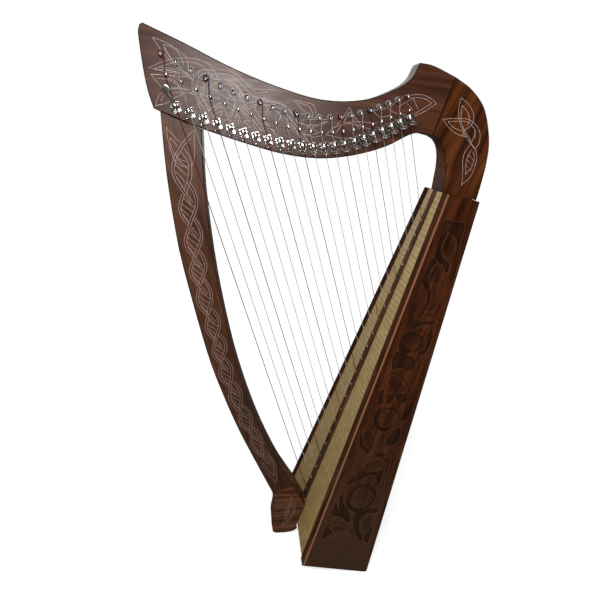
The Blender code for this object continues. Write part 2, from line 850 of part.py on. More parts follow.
def tuningPinMesh():
    """Tuning pin about its own Y axis: round through the neck, squared for the key on the far side."""
    near = -neckThickness / 2 - tuningPinNearReach
    far = neckThickness / 2 + tuningPinFarReach
    half = tuningKeySide / 2
    rings = []
    square = tuningPinRadius * 0.97
    keyStart = far - tuningKeyLength
    layers = ((near, 0.72), (near + tuningPinBevel, 1.0), (keyStart, 1.0), (keyStart + tuningPinBevel, None),
              (far, None))
    for y, shape in layers:
        ring = []
        for k in range(tuningPinSides):
            angle = 2 * math.pi * (k + 0.5) / tuningPinSides
            x, z = math.cos(angle), math.sin(angle)
            size = tuningPinRadius * shape if shape else min(square, half / max(abs(x), abs(z)))
            ring.append((x * size, y, z * size))
        rings.append(ring)
    return loft("tuning_pin", rings)


def leverMesh(tilt):
    """Lever about its own axle: cam, arm and round handle. X runs along the string, Y across, Z out."""
    half = leverInnerWidth / 2 - fit
    camAt = tilt + math.radians(90) + handleTilt
    rings = []
    for y in (-half, half):
        ring = []
        for k in range(leverSides):
            angle = 2 * math.pi * k / leverSides
            lift = max(0.0, math.cos(angle - camAt)) ** 3
            radius = leverBarrelRadius + (leverCamRadius - leverBarrelRadius) * lift
            ring.append((math.cos(angle) * radius, y, math.sin(angle) * radius))
        rings.append(ring)
    lever = addObject("leverBody", loft("leverBody", rings), None)
    way = Vector((math.cos(tilt), 0, math.sin(tilt)))
    flat = Vector((-math.sin(tilt), 0, math.cos(tilt)))
    side = Vector((0, 1, 0))
    verts, faces = [], []
    thick = 0.9 * handleThickness
    boxInto(verts, faces, Vector(), (way, side, flat), (leverBoreRadius, armSideGap - half, -thick),
            (handleReach - 0.6 * handleRadius, half - armNarrowing, thick))
    joined(lever, addObject("arm", meshFrom("arm", verts, faces), None), "UNION")
    verts, faces = [], []
    rim = handleRadius - handleRim
    turnedInto(verts, faces, way * handleReach + side * handleSetOff, flat, way,
               [(-handleThickness / 2, rim), (0, handleRadius), (handleThickness / 2, rim)], leverSides)
    joined(lever, addObject("disc", meshFrom("disc", verts, faces), None), "UNION")
    verts, faces = [], []
    turnedInto(verts, faces, side * -2 * half, side, Vector((1, 0, 0)),
               [(0, leverBoreRadius), (4 * half, leverBoreRadius)], 8)
    joined(lever, addObject("bore", meshFrom("bore", verts, faces), None), "DIFFERENCE")
    shadeRound(lever, math.radians(40))
    mesh = lever.data.copy()
    bpy.data.objects.remove(lever)
    return mesh


def buildTuningPins(runs):
    steel = chrome("tuningPinSteel")
    made = []
    for run in runs:
        name = "tuning_pin_%02d" % run.number
        pin = addObject(name, tuningPinMesh(), steel, (run.tuning.x, 0, run.tuning.y))
        shadeRound(pin, math.radians(50))
        made.append(pin)
    return made


def buildLevers(runs):
    """Lever 1 is flipped up and presses its string. The others point out and leave theirs free."""
    steel = chrome("leverSteel")
    made = []
    for run in runs:
        up = run.number == 1
        mesh = leverMesh(math.pi - handleTilt if up else restTilt)
        centre = leverRoot(run) + leverAxes(run)[2] * axleOut(run)
        lever = addObject("lever_%02d" % run.number, mesh, steel)
        along, side, out = leverAxes(run)
        turn = Matrix((along, side, out)).transposed().to_4x4()
        lever.matrix_world = Matrix.Translation(centre) @ turn
        made.append(lever)
    return made


def settle():
    """Moves everything so that the origin is under the middle of the harp, on the floor."""
    bpy.context.view_layer.update()
    made = list(bpy.context.scene.objects)
    corners = [obj.matrix_world @ Vector(corner) for obj in made for corner in obj.bound_box]
    low = [min(c[i] for c in corners) for i in range(3)]
    high = [max(c[i] for c in corners) for i in range(3)]
    shift = Vector((-(low[0] + high[0]) / 2, -(low[1] + high[1]) / 2, -low[2]))
    for obj in made:
        obj.location = obj.location + shift


def build():
    for obj in list(bpy.data.objects):
        bpy.data.objects.remove(obj)
    runs = [StringRun(i) for i in range(stringCount)]
    buildNeck(runs)
    buildShoulder()
    buildPillar()
    buildFoot()
    buildSides()
    buildBack()
    buildBase()
    buildTopBlock()
    buildBraces()
    buildSoundboard(runs)
    buildEdgeStrips()
    buildInnerRib(runs)
    buildStrings(runs)
    buildTuningPins(runs)
    buildLevers(runs)
    settle()


build()
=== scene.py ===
import bmesh
import bpy
import json
import math
import numpy as np
from mathutils import Matrix, Vector


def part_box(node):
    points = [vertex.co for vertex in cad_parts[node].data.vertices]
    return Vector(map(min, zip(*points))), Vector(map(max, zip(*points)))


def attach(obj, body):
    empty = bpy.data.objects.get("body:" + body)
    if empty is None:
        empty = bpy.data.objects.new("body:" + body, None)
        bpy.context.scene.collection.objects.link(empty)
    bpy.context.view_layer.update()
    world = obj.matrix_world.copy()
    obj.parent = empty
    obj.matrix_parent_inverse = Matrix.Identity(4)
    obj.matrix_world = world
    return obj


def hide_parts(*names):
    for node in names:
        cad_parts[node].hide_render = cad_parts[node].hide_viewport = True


# Lever harp, dressed for its portrait. X runs from the pillar to the soundbox, the near side faces -Y.
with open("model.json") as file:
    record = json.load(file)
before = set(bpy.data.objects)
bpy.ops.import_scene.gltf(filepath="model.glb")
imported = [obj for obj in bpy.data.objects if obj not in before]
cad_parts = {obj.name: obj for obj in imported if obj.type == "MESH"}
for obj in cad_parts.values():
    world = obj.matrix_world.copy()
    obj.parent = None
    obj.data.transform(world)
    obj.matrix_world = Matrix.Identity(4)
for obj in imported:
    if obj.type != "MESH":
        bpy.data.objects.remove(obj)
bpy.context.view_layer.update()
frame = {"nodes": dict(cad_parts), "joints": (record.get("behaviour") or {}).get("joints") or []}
nodes = frame["nodes"]
mm = 0.001
fullTurn = 2 * math.pi
waveTurn = 6.283  # one wave of the bands and lines in the wood

# the strings' routes, worked out as the maker sets them

box = {
    "lean": math.radians(11.08), "bottom": 28.4 * mm, "top": 736.6 * mm, "boardFace": 1.8 * mm,
    "frontBottom": 28.0 * mm, "frontTop": 111.4 * mm, "backBottom": 151.2 * mm, "backTop": 166.4 * mm,
    "widthBottom": 253.6 * mm, "widthTop": 105.6 * mm, "ribOut": 2.1 * mm, "ribThickness": 3.2 * mm,
}
strings = {
    "count": 22, "neckFace": -18 * mm, "height": 12 * mm, "bassRadius": 0.7 * mm, "trebleRadius": 0.42 * mm,
    "offsetX": -6.6 * mm, "riseBass": 28.0 * mm, "riseTreble": 20.6 * mm, "pinRadius": 3.0 * mm,
    "grooveRadius": 1.3 * mm, "gap": 0.3 * mm, "firstFoot": 72.8 * mm, "lastClear": 55.0 * mm,
    "knotDepth": 9.4 * mm, "red": (1, 8, 15, 22), "blue": (4, 11, 18),
}
frontFoot = np.array([box["frontBottom"], box["bottom"]])
frontWay = np.array([box["frontTop"], box["top"]]) - frontFoot
boardLength = np.linalg.norm(frontWay)
frontWay = frontWay / boardLength
frontOut = np.array([-frontWay[1], frontWay[0]])
stringDepth = strings["neckFace"] - strings["height"]
jointAt = {j["child"]: np.array(j["pos_m"]) for j in frame["joints"]}


def onFront(along, out):
    # so far up the line of the soundboard and so far out of it, with the soundbox upright
    return frontFoot + np.outer(along, frontWay) + np.outer(out, frontOut)


def standing(points):
    # leans flat points of the upright soundbox back on to its planed foot: a turn by the lean, then a shift
    c, s = math.cos(box["lean"]), math.sin(box["lean"])
    return points @ np.array([[c, -s], [s, c]]) + np.array([harpShift, 0])


def boxAt(what, height):
    # a size of the soundbox at a height: straight from its value at the bottom to that at the top
    low, high = box[what + "Bottom"], box[what + "Top"]
    return low + (high - low) * ((height - box["bottom"]) / (box["top"] - box["bottom"]))


def upright(flat, y=0.0):
    # a point of the side view, set at a depth
    return np.array([flat[0], y, flat[1]])


def stringRun(number):
    # where a string winds, touches its bridge pin, enters the rib and is knotted: the touching point and the
    # string's direction depend on each other, and three rounds settle them
    share = (number - 1) / (strings["count"] - 1)
    radius = strings["bassRadius"] + (strings["trebleRadius"] - strings["bassRadius"]) * share
    tuning = jointAt["pin_%02d" % number][[0, 2]]
    rise = strings["riseTreble"] + (strings["riseBass"] - strings["riseTreble"]) * (1 - share) ** 2
    bridge = tuning - np.array([strings["offsetX"], rise])
    up = strings["firstFoot"] + share * (boardLength - strings["firstFoot"] - strings["lastClear"])
    foot = standing(onFront(up, box["ribOut"] + box["ribThickness"]))[0]
    below = standing(onFront(up, -strings["knotDepth"]))[0]
    across = np.array([1.0, 0.0])
    for _ in range(3):
        start = bridge - across * (strings["grooveRadius"] + radius + strings["gap"])
        along = (foot - start) / np.linalg.norm(foot - start)
        across = np.array([-along[1], along[0]])
    return {"number": number, "label": "%02d" % number, "radius": radius, "tuning": tuning, "bridge": bridge,
            "foot": upright(foot), "below": upright(below), "start": start, "along": along, "across": across,
            "coilRadius": strings["pinRadius"] + strings["gap"] + radius}


harpShift = 0.0
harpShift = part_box("soundboard")[0].x - standing(onFront(0, box["boardFace"]))[0, 0]
runs = [stringRun(n) for n in range(1, strings["count"] + 1)]
print("frame loaded, shift", round(harpShift / mm, 2), "mm")


# surfaces from arrays: each shape is a pair of vertices and faces


def placed(name, data):
    made = bpy.data.objects.new(name, data)
    bpy.context.scene.collection.objects.link(made)
    return made


def meshPiece(name, shape, material, body="harp_frame", smooth=True):
    mesh = bpy.data.meshes.new(name)
    mesh.from_pydata(np.reshape(shape[0], (-1, 3)).tolist(), [], [list(f) for f in shape[1]])
    mesh.validate()
    mesh.polygons.foreach_set("use_smooth", np.full(len(mesh.polygons), smooth))
    mesh.materials.append(material)
    piece = placed(name, mesh)
    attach(piece, body)
    return piece


def outwards(piece):
    # turns the faces so that every closed form of a piece points out
    body = bmesh.new()
    body.from_mesh(piece.data)
    bmesh.ops.recalc_face_normals(body, faces=body.faces)
    body.to_mesh(piece.data)
    body.free()


def gridFaces(rows, columns, closedRows=False, closedColumns=True, caps=False):
    # quads between neighbouring rows and columns of a grid, wrapped round where a direction is closed
    r = np.arange(rows if closedRows else rows - 1)[:, None]
    c = np.arange(columns if closedColumns else columns - 1)[None]
    r2, c2 = (r + 1) % rows, (c + 1) % columns
    quads = np.stack([r * columns + c, r * columns + c2, r2 * columns + c2, r2 * columns + c], axis=-1)
    faces = quads.reshape(-1, 4).tolist()
    if caps:
        last = (rows - 1) * columns
        faces += [list(range(columns - 1, -1, -1)), list(range(last, last + columns))]
    return faces


def several(shapes):
    # joins shapes into one
    verts, faces, start = [], [], 0
    for v, f in shapes:
        v = np.reshape(v, (-1, 3))
        verts.append(v)
        faces += [[i + start for i in face] for face in f]
        start += len(v)
    return np.concatenate(verts), faces


def slopes(path):
    # unit directions along a path
    ahead = np.gradient(path, axis=0)
    return ahead / np.maximum(np.linalg.norm(ahead, axis=1, keepdims=True), 1e-9)


def aside(ways):
    # flat directions, turned a quarter to the left
    return np.stack([-ways[:, 1], ways[:, 0]], axis=1)


def tube(path, radius, sides):
    # a circle carried along a path: centre + (side cos a + up sin a) radius, with side carried on untwisted
    ahead = slopes(path)
    guess = np.array([0.0, 1.0, 0.0]) if abs(ahead[0, 1]) < 0.8 else np.array([1.0, 0.0, 0.0])
    side = np.zeros_like(path)
    for i, way in enumerate(ahead):
        guess = guess - way * guess.dot(way)
        guess = guess / np.linalg.norm(guess)
        side[i] = guess
    up = np.cross(ahead, side)
    a = np.linspace(0, fullTurn, sides, endpoint=False)[None, :, None]
    ring = side[:, None] * np.cos(a) + up[:, None] * np.sin(a)
    return path[:, None] + ring * radius, gridFaces(len(path), sides, caps=True)


def turned(profile, sides, centre, axis, across, closed=False):
    # a profile of (distance, radius) spun about an axis; a closed one joins its end to its start
    profile, axis, across = np.asarray(profile), np.asarray(axis), np.asarray(across)
    a = np.linspace(0, fullTurn, sides, endpoint=False)[:, None]
    ring = across * np.cos(a) + np.cross(axis, across) * np.sin(a)
    verts = centre + profile[:, 0, None, None] * axis + profile[:, 1, None, None] * ring
    return verts, gridFaces(len(profile), sides, closedRows=closed, caps=not closed)


def catmull(points, steps, closed=False):
    # smooth curve through the points: a cubic between each two, with the slope of its neighbours
    p = np.asarray(points, float)
    before, after = (p[-1:], p[:2]) if closed else ([2 * p[0] - p[1]], [2 * p[-1] - p[-2]])
    p = np.concatenate([before, p, after])
    t = np.linspace(0, 1, steps, endpoint=False)[None, :, None]
    a, b, c, d = (p[i:len(p) - 3 + i, None] for i in range(4))
    curve = b + 0.5 * t * ((c - a) + t * ((2 * a - 5 * b + 4 * c - d) + t * (3 * b - 3 * c + d - a)))
    return np.concatenate([curve.reshape(-1, p.shape[1]), p[-2:-1]])


def faceY(name, x, z):
    # depth of a node's near face at flat points: the nearest of its triangles that each point lies in
    mesh = nodes[name].data
    mesh.calc_loop_triangles()
    tri = np.zeros(len(mesh.loop_triangles) * 3, np.int32)
    mesh.loop_triangles.foreach_get("vertices", tri)
    co = np.zeros(len(mesh.vertices) * 3)
    mesh.vertices.foreach_get("co", co)
    a, b, c = np.swapaxes(co.reshape(-1, 3)[tri.reshape(-1, 3)], 0, 1)
    ab, ac = (b - a)[:, [0, 2]], (c - a)[:, [0, 2]]
    area = ab[:, 0] * ac[:, 1] - ab[:, 1] * ac[:, 0]
    keep = np.abs(area) > 1e-12
    a, b, c, ab, ac, area = (v[keep] for v in (a, b, c, ab, ac, area))
    px, pz = x[:, None] - a[:, 0], z[:, None] - a[:, 2]
    u = (px * ac[:, 1] - pz * ac[:, 0]) / area
    v = (ab[:, 0] * pz - ab[:, 1] * px) / area
    y = a[:, 1] + u * (b - a)[:, 1] + v * (c - a)[:, 1]
    inside = (u > -1e-4) & (v > -1e-4) & (u + v < 1.0002)
    return np.where(inside, y, np.inf).min(axis=1)


# effects that several finishes share


def feed(tree, socket, value):
    # a socket takes a link, a colour without its alpha, or a plain value
    if isinstance(value, bpy.types.NodeSocket):
        tree.links.new(value, socket)
    else:
        socket.default_value = (*value, 1) if socket.type == "RGBA" and len(value) == 3 else value


def feedAll(tree, target, **inputs):
    # inputs by name, with _ for a space, or by place as i0, i1 and so on
    for key, value in inputs.items():
        feed(tree, target.inputs[int(key[1:]) if key[1:].isdigit() else key.replace("_", " ")], value)


def node(tree, kind, settings=None, **inputs):
    # a new node's outputs; kind is a shader node's type or one of the groups below
    grouped = isinstance(kind, bpy.types.NodeTree)
    made = tree.nodes.new("ShaderNodeGroup" if grouped else "ShaderNode" + kind)
    if grouped:
        made.node_tree = kind
    for key, value in (settings or {}).items():
        setattr(made, key, value)
    feedAll(tree, made, **inputs)
    return made.outputs


def maths(tree, operation, a, b=0.5, c=0.5):
    return node(tree, "Math", {"operation": operation}, i0=a, i1=b, i2=c)[0]


def times(tree, a, b):
    return maths(tree, "MULTIPLY", a, b)


def plus(tree, a, b):
    return maths(tree, "ADD", a, b)


def halved(tree, value):
    # brings -1 to 1 into 0 to 1
    return maths(tree, "MULTIPLY_ADD", value, 0.5, 0.5)


def noise(tree, vector, scale, detail, roughness=0.5, distortion=0.0):
    return node(tree, "TexNoise", None, Vector=vector, Scale=scale, Detail=detail, Roughness=roughness,
                Distortion=distortion)["Fac"]


def ramp(tree, factor, low, high):
    # straight between two (position, value) stops, and level outside them
    made = tree.nodes.new("ShaderNodeValToRGB")
    feedAll(tree, made, Fac=factor)
    for element, (position, value) in zip(made.color_ramp.elements, (low, high)):
        element.position = position
        element.color = (value, value, value, 1)
    return made.outputs[0]


def mix(tree, factor, a, b, blend="MIX"):
    return node(tree, "Mix", {"data_type": "RGBA", "blend_type": blend}, i0=factor, i6=a, i7=b)[2]


def mixValue(tree, factor, a, b):
    return node(tree, "Mix", {"data_type": "FLOAT"}, i0=factor, i2=a, i3=b)[0]


def coordinate(tree, kind="Object"):
    return node(tree, "TexCoord")[kind]


def axisOf(tree, vector, axis):
    return node(tree, "SeparateXYZ", None, Vector=vector)[axis]


def facing(tree):
    # 1 where a face looks along Y, 0 where it is square to that
    return maths(tree, "ABSOLUTE", axisOf(tree, node(tree, "NewGeometry")["Normal"], "Y"))


def drawnOut(tree, vector, stretch):
    # coordinates that change slowly along X
    return node(tree, "VectorMath", {"operation": "MULTIPLY"}, i0=vector,
                i1=node(tree, "CombineXYZ", None, X=stretch, Y=1.0, Z=1.0)[0])[0]


def group(name, ins, outs):
    # an input without a value is a vector, and one with four values a colour
    tree = bpy.data.node_groups.new(name, "ShaderNodeTree")
    for label, value in ins.items():
        kind = "Vector" if value is None else "Float" if isinstance(value, float) else "Color"
        socket = tree.interface.new_socket(label, in_out="INPUT", socket_type="NodeSocket" + kind)
        if value is not None:
            socket.default_value = value
    for label in outs:
        kind = "Color" if label == "Color" else "Float"
        tree.interface.new_socket(label, in_out="OUTPUT", socket_type="NodeSocket" + kind)
    return tree, tree.nodes.new("NodeGroupInput").outputs, tree.nodes.new("NodeGroupOutput")


def woodGrainGroup():
    # long noise stretched along X makes the figure, a sine of it the bands, and a finer one the open pores
    tree, ins, end = group("woodGrain", {
        "Vector": None, "Figure Scale": 30.0, "Stretch": 0.09, "Dark": (0.03, 0.012, 0.008, 1),
        "Light": (0.12, 0.05, 0.03, 1), "Streak": (0.015, 0.007, 0.005, 1), "Streak Amount": 0.6,
        "Pore Scale": 900.0, "Pore Amount": 0.45, "Band Count": 9.0}, ("Color", "Gloss", "Height"))
    long = drawnOut(tree, ins["Vector"], ins["Stretch"])
    figure = noise(tree, long, ins["Figure Scale"], 5.0, 0.55, 0.6)
    broad = noise(tree, long, times(tree, ins["Figure Scale"], 0.35), 2.0, 0.5, 0.3)
    bands = maths(tree, "SINE", times(tree, times(tree, broad, ins["Band Count"]), waveTurn))
    bands = ramp(tree, halved(tree, bands), (0.55, 0.0), (0.95, 1.0))
    tone = ramp(tree, figure, (0.32, 0.0), (0.68, 1.0))
    colour = mix(tree, tone, ins["Dark"], ins["Light"])
    colour = mix(tree, times(tree, bands, ins["Streak Amount"]), colour, ins["Streak"])
    pores = noise(tree, drawnOut(tree, ins["Vector"], 0.035), ins["Pore Scale"], 2.0, 0.6)
    pores = times(tree, ramp(tree, pores, (0.56, 0.0), (0.68, 1.0)), ins["Pore Amount"])
    feedAll(tree, end, Color=mix(tree, pores, colour, ins["Streak"]),
            Gloss=maths(tree, "MULTIPLY_ADD", tone, 0.08, times(tree, pores, 0.2)),
            Height=maths(tree, "SUBTRACT", times(tree, figure, 0.3), pores))
    return tree


def handlingGroup():
    # cloudy patches where hands and cloths have dulled a finish
    tree, ins, end = group("handling", {"Vector": None, "Scale": 18.0, "Amount": 0.1}, ("Mask", "Gloss"))
    mask = ramp(tree, noise(tree, ins["Vector"], ins["Scale"], 4.0, 0.6), (0.4, 0.0), (0.75, 1.0))
    feedAll(tree, end, Mask=mask, Gloss=times(tree, mask, ins["Amount"]))
    return tree


woodGrain = woodGrainGroup()
handling = handlingGroup()


def shaderTree(name):
    made = bpy.data.materials.new(name)
    made.use_nodes = True
    return made, made.node_tree, made.node_tree.nodes["Principled BSDF"]


def soFar(shader, name):
    # what an input of the shader is fed by
    return shader.inputs[name].links[0].from_socket


def bump(tree, shader, height, strength, distance):
    normal = node(tree, "Bump", None, Strength=strength, Distance=distance, Height=height)[0]
    feedAll(tree, shader, Normal=normal)


def grainSpace(tree, angle, shift=0.0):
    # coordinates turned so that X runs along the grain; angle is its rise in degrees, seen from the near side
    return node(tree, "Mapping", {"vector_type": "POINT"}, Vector=coordinate(tree), Location=(shift, 0, 0),
                Rotation=(0, math.radians(angle), 0))[0]


def wood(name, dark, light, streak, angle, roughness=0.34, figure=75.0, streaks=0.6, shift=0.0, shine=0.07,
         chamfer=0.0, lowShade=0.0):
    # chamfer darkens the broken edges, and lowShade the lower end of a tall piece
    made, tree, shader = shaderTree(name)
    vector = grainSpace(tree, angle, shift)
    grain = node(tree, woodGrain, None, Vector=vector, Figure_Scale=figure, Dark=dark, Light=light,
                 Streak=streak, Streak_Amount=streaks)
    worn = node(tree, handling, None, Vector=vector, Scale=16.0, Amount=0.10)
    colour = grain["Color"]
    if chamfer:
        square = facing(tree)
        slope = times(tree, ramp(tree, square, (0.28, 0.0), (0.42, 1.0)),
                      ramp(tree, square, (0.86, 1.0), (0.95, 0.0)))
        colour = mix(tree, times(tree, slope, chamfer), colour, streak)
    if lowShade:
        low = ramp(tree, axisOf(tree, coordinate(tree), "Z"), (0.12, 1.0), (0.68, 0.0))
        colour = mix(tree, times(tree, low, lowShade), colour, streak)
    feedAll(tree, shader, Base_Color=colour, Specular_IOR_Level=shine,
            Roughness=plus(tree, plus(tree, grain["Gloss"], worn["Gloss"]), roughness))
    bump(tree, shader, grain["Height"], 0.25, 0.0003)
    return made


def handled(name, colour, worn, scale, amount, roughness):
    # a plain finish, clouded with its worn colour and duller where hands have been
    made, tree, shader = shaderTree(name)
    vector = coordinate(tree)
    cloud = node(tree, handling, None, Vector=vector, Scale=scale, Amount=amount)
    feedAll(tree, shader, Base_Color=mix(tree, cloud["Mask"], colour, worn),
            Roughness=plus(tree, cloud["Gloss"], roughness))
    return made, tree, shader, vector


def nylon(name, colour, roughness=0.28, alpha=1.0):
    # smooth and dyed through, paler where it is worn
    pale = tuple(min(1.0, c * 1.4 + 0.003) for c in colour)
    made, tree, shader, _ = handled(name, colour, pale, 90.0, 0.12, roughness)
    feedAll(tree, shader, Specular_IOR_Level=0.2, Alpha=alpha)
    return made


def metal(name, colour, tarnish, roughness):
    # finely brushed, tarnished in patches
    made, tree, shader, vector = handled(name, colour, tarnish, 140.0, 0.16, roughness)
    feedAll(tree, shader, Metallic=1.0)
    bump(tree, shader, noise(tree, vector, 2500.0, 2.0), 0.08, 0.0001)
    return made


print("finishes ready")


# wooden frame

neckLook = dict(dark=(0.046, 0.0090, 0.0010), light=(0.112, 0.029, 0.006), streak=(0.018, 0.005, 0.001),
                angle=-7, figure=70.0, streaks=0.3, roughness=0.29, shine=0.45, chamfer=0.75)
stripLook = dict(streak=(0.01, 0.004, 0.002), angle=72, roughness=0.6, shine=0.01)
backLook = dict(dark=(0.036, 0.012, 0.005), light=(0.09, 0.033, 0.015), streak=(0.012, 0.005, 0.003))
braceLook = dict(dark=(0.22, 0.13, 0.06), light=(0.36, 0.24, 0.12), streak=(0.15, 0.08, 0.04), angle=11,
                 roughness=0.55, streaks=0.4)
woodLooks = {
    "shoulder": dict(dark=(0.034, 0.0060, 0.0005), light=(0.145, 0.038, 0.006), streak=(0.016, 0.005, 0.002),
                     angle=68, streaks=0.5, figure=60.0, shine=0.12, chamfer=0.75),
    "pillar": dict(dark=(0.052, 0.0130, 0.003), light=(0.145, 0.046, 0.014), streak=(0.018, 0.006, 0.001),
                   angle=-76, streaks=0.35, roughness=0.30, shine=0.4, chamfer=0.75, lowShade=0.55),
    "foot_block": dict(dark=(0.062, 0.022, 0.010), light=(0.170, 0.068, 0.032), streak=(0.018, 0.007, 0.003),
                       angle=4, chamfer=0.6),
    "edge_strip_near": dict(stripLook, dark=(0.052, 0.019, 0.009), light=(0.125, 0.048, 0.024)),
    # the far strip takes a darker copy of the near strip's wood: painted shade
    "edge_strip_far": dict(stripLook, dark=(0.03, 0.010, 0.005), light=(0.075, 0.028, 0.015),
                           streak=(0.01, 0.005, 0.003)),
    "top_block": dict(backLook, angle=4), "back_panel": dict(backLook, angle=78),
    "base_panel": dict(backLook, angle=-11),
    "inner_string_rib": braceLook, "brace_lower": braceLook, "brace_upper": braceLook,
}
# the soundboard's look: low is the colour multiplied in as painted shade towards the board's foot
boardLook = {
    "pale": (0.60, 0.445, 0.215), "deep": (0.48, 0.34, 0.145), "line": (0.24, 0.155, 0.065),
    "lineScale": 210.0, "wobble": 9.0, "edge": (0.25, 0.10, 0.05), "low": (0.68, 0.62, 0.50),
    "paintedShadeReach": 0.75, "angle": 72, "roughness": 0.42,
}
fittings = {"colour": (0.58, 0.57, 0.56), "roughness": 0.2}


def neckFinish():
    # rosewood, and plated metal where the fittings stand out from the near face
    made = wood("neckRosewood", **neckLook)
    tree = made.node_tree
    shader = tree.nodes["Principled BSDF"]
    mask = maths(tree, "LESS_THAN", axisOf(tree, coordinate(tree), "Y"), strings["neckFace"] - 0.05 * mm)
    feedAll(tree, shader, Metallic=mask,
            Base_Color=mix(tree, mask, soFar(shader, "Base Color"), fittings["colour"]),
            Roughness=mixValue(tree, mask, soFar(shader, "Roughness"), fittings["roughness"]))
    return made


def soundboardFinish():
    # pale birch with fine dark lines that cross the board, darkened towards the foot by painted shade, with
    # brown edges
    made, tree, shader = shaderTree("soundboardBirch")
    vector = grainSpace(tree, boardLook["angle"])
    grain = node(tree, woodGrain, None, Vector=vector, Figure_Scale=60.0, Stretch=1.6, Dark=boardLook["deep"],
                 Light=boardLook["pale"], Streak=boardLook["line"], Streak_Amount=0.25, Pore_Scale=700.0,
                 Pore_Amount=0.25, Band_Count=6.0)
    up = axisOf(tree, vector, "X")
    wobble = times(tree, noise(tree, vector, 9.0, 2.0), boardLook["wobble"])
    lines = maths(tree, "MULTIPLY_ADD", up, boardLook["lineScale"] * waveTurn / 2, wobble)
    lines = ramp(tree, halved(tree, maths(tree, "SINE", lines)), (0.80, 0.0), (0.97, 0.55))
    colour = mix(tree, lines, grain["Color"], boardLook["line"])
    # painted shade: the colour is multiplied darker towards the board's foot
    low = ramp(tree, maths(tree, "DIVIDE", up, boardLook["paintedShadeReach"]), (0.0, 1.0), (0.85, 0.0))
    colour = mix(tree, low, colour, boardLook["low"], "MULTIPLY")
    edge = maths(tree, "GREATER_THAN", facing(tree), 0.6)
    feedAll(tree, shader, Base_Color=mix(tree, edge, colour, boardLook["edge"]), Specular_IOR_Level=0.1,
            Roughness=plus(tree, grain["Gloss"], boardLook["roughness"]))
    bump(tree, shader, grain["Height"], 0.15, 0.0002)
    return made


def dress(name, material):
    # a solid of the frame keeps its shape and takes a finish
    mesh = nodes[name].data
    mesh.materials.clear()
    mesh.materials.append(material)


dress("neck", neckFinish())
for name, look in woodLooks.items():
    dress(name, wood(name + ("Spruce" if look is braceLook else "Rosewood"), **look))
dress("soundboard", soundboardFinish())
print("wooden frame dressed")


# outer string rib with its brass eyelets

rib = {
    "start": 56.0 * mm, "end": boardLength, "width": 21.0 * mm, "topWidth": 12.5 * mm, "round": 1.1 * mm,
    "rows": 60, "corner": 5, "endBreak": 1 * mm, "endThickness": 0.86, "endWidth": 0.98,
    "look": dict(dark=(0.045, 0.017, 0.008), light=(0.12, 0.052, 0.027), streak=(0.018, 0.008, 0.005),
                 angle=72, shine=0.03),
}
eyelet = {"radius": 1.8 * mm, "hole": 0.9 * mm, "height": 0.8 * mm, "lining": 0.6 * mm, "sunk": 0.3 * mm,
          "sides": 16, "brass": ((0.60, 0.50, 0.34), (0.4, 0.31, 0.18), 0.3)}


def buildRib():
    # a flat bar: its section, a rectangle with rounded upper corners, is carried along the board and narrows
    low, high = box["ribOut"], box["ribOut"] + box["ribThickness"]
    a = np.linspace(0, math.pi / 2, rib["corner"])
    broken = rib["round"] / (rib["width"] / 2)
    corner = 1 - broken + broken * np.sin(a)
    cornerOut = high - rib["round"] + rib["round"] * np.cos(a)
    section = np.concatenate([corner, [1, -1], -corner[::-1]])
    sectionOut = np.concatenate([cornerOut, [low, low], cornerOut[::-1]])
    ends = np.array([rib["start"], rib["end"]])
    inner = ends + np.array([rib["endBreak"], -rib["endBreak"]])
    along = np.concatenate([ends[:1], np.linspace(*inner, rib["rows"]), ends[1:]])
    atEnd = np.isin(along, ends)[:, None]
    middle = (low + high) / 2
    out = middle + (sectionOut - middle) * np.where(atEnd, rib["endThickness"], 1)
    width = np.interp(along, ends, [rib["width"] / 2, rib["topWidth"] / 2])[:, None]
    y = section * width * np.where(atEnd, rib["endWidth"], 1)
    flat = standing(onFront(np.repeat(along, len(section)), out.ravel()))
    verts = np.stack([flat[:, 0], y.ravel(), flat[:, 1]], axis=1)
    piece = meshPiece("string_rib", (verts, gridFaces(len(along), len(section), caps=True)),
                      wood("ribRosewood", **rib["look"]))
    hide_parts("string_rib_with_strings")


def buildEyelets():
    # rolled brass rings, one round each string where it enters the rib: a half circle spun round the hole
    out = upright((standing(onFront(0, 1)) - standing(onFront(0, 0)))[0])
    hole, rim = eyelet["hole"], eyelet["radius"]
    a = np.linspace(0, math.pi, 7)
    rolled = zip(eyelet["height"] * np.sin(a), (hole + rim) / 2 - (rim - hole) / 2 * np.cos(a))
    profile = [(-eyelet["lining"], hole), *rolled, (-eyelet["sunk"], rim)]
    parts = [turned(profile, eyelet["sides"], run["foot"], out, (0, 1, 0), closed=True) for run in runs]
    meshPiece("string_eyelets", several(parts), metal("eyeletBrass", *eyelet["brass"]))


buildRib()
buildEyelets()
print("rib ready")


# strings: wound on the tuning pin, past the bridge pin, down into the rib and knotted behind it

coil = {"turns": 3.4, "pitch": 1.25, "perTurn": 20, "sink": 0.2 * mm, "room": 2.6 * mm}
knot = {"size": 0.71875 * mm, "steps": 40, "drop": 1.6 * mm, "thickness": 0.9}
nylonLooks = {"red": ((0.085, 0.003, 0.005),), "blue": ((0.005, 0.010, 0.050),),
              "clear": ((0.34, 0.335, 0.325), 0.3, 0.8)}


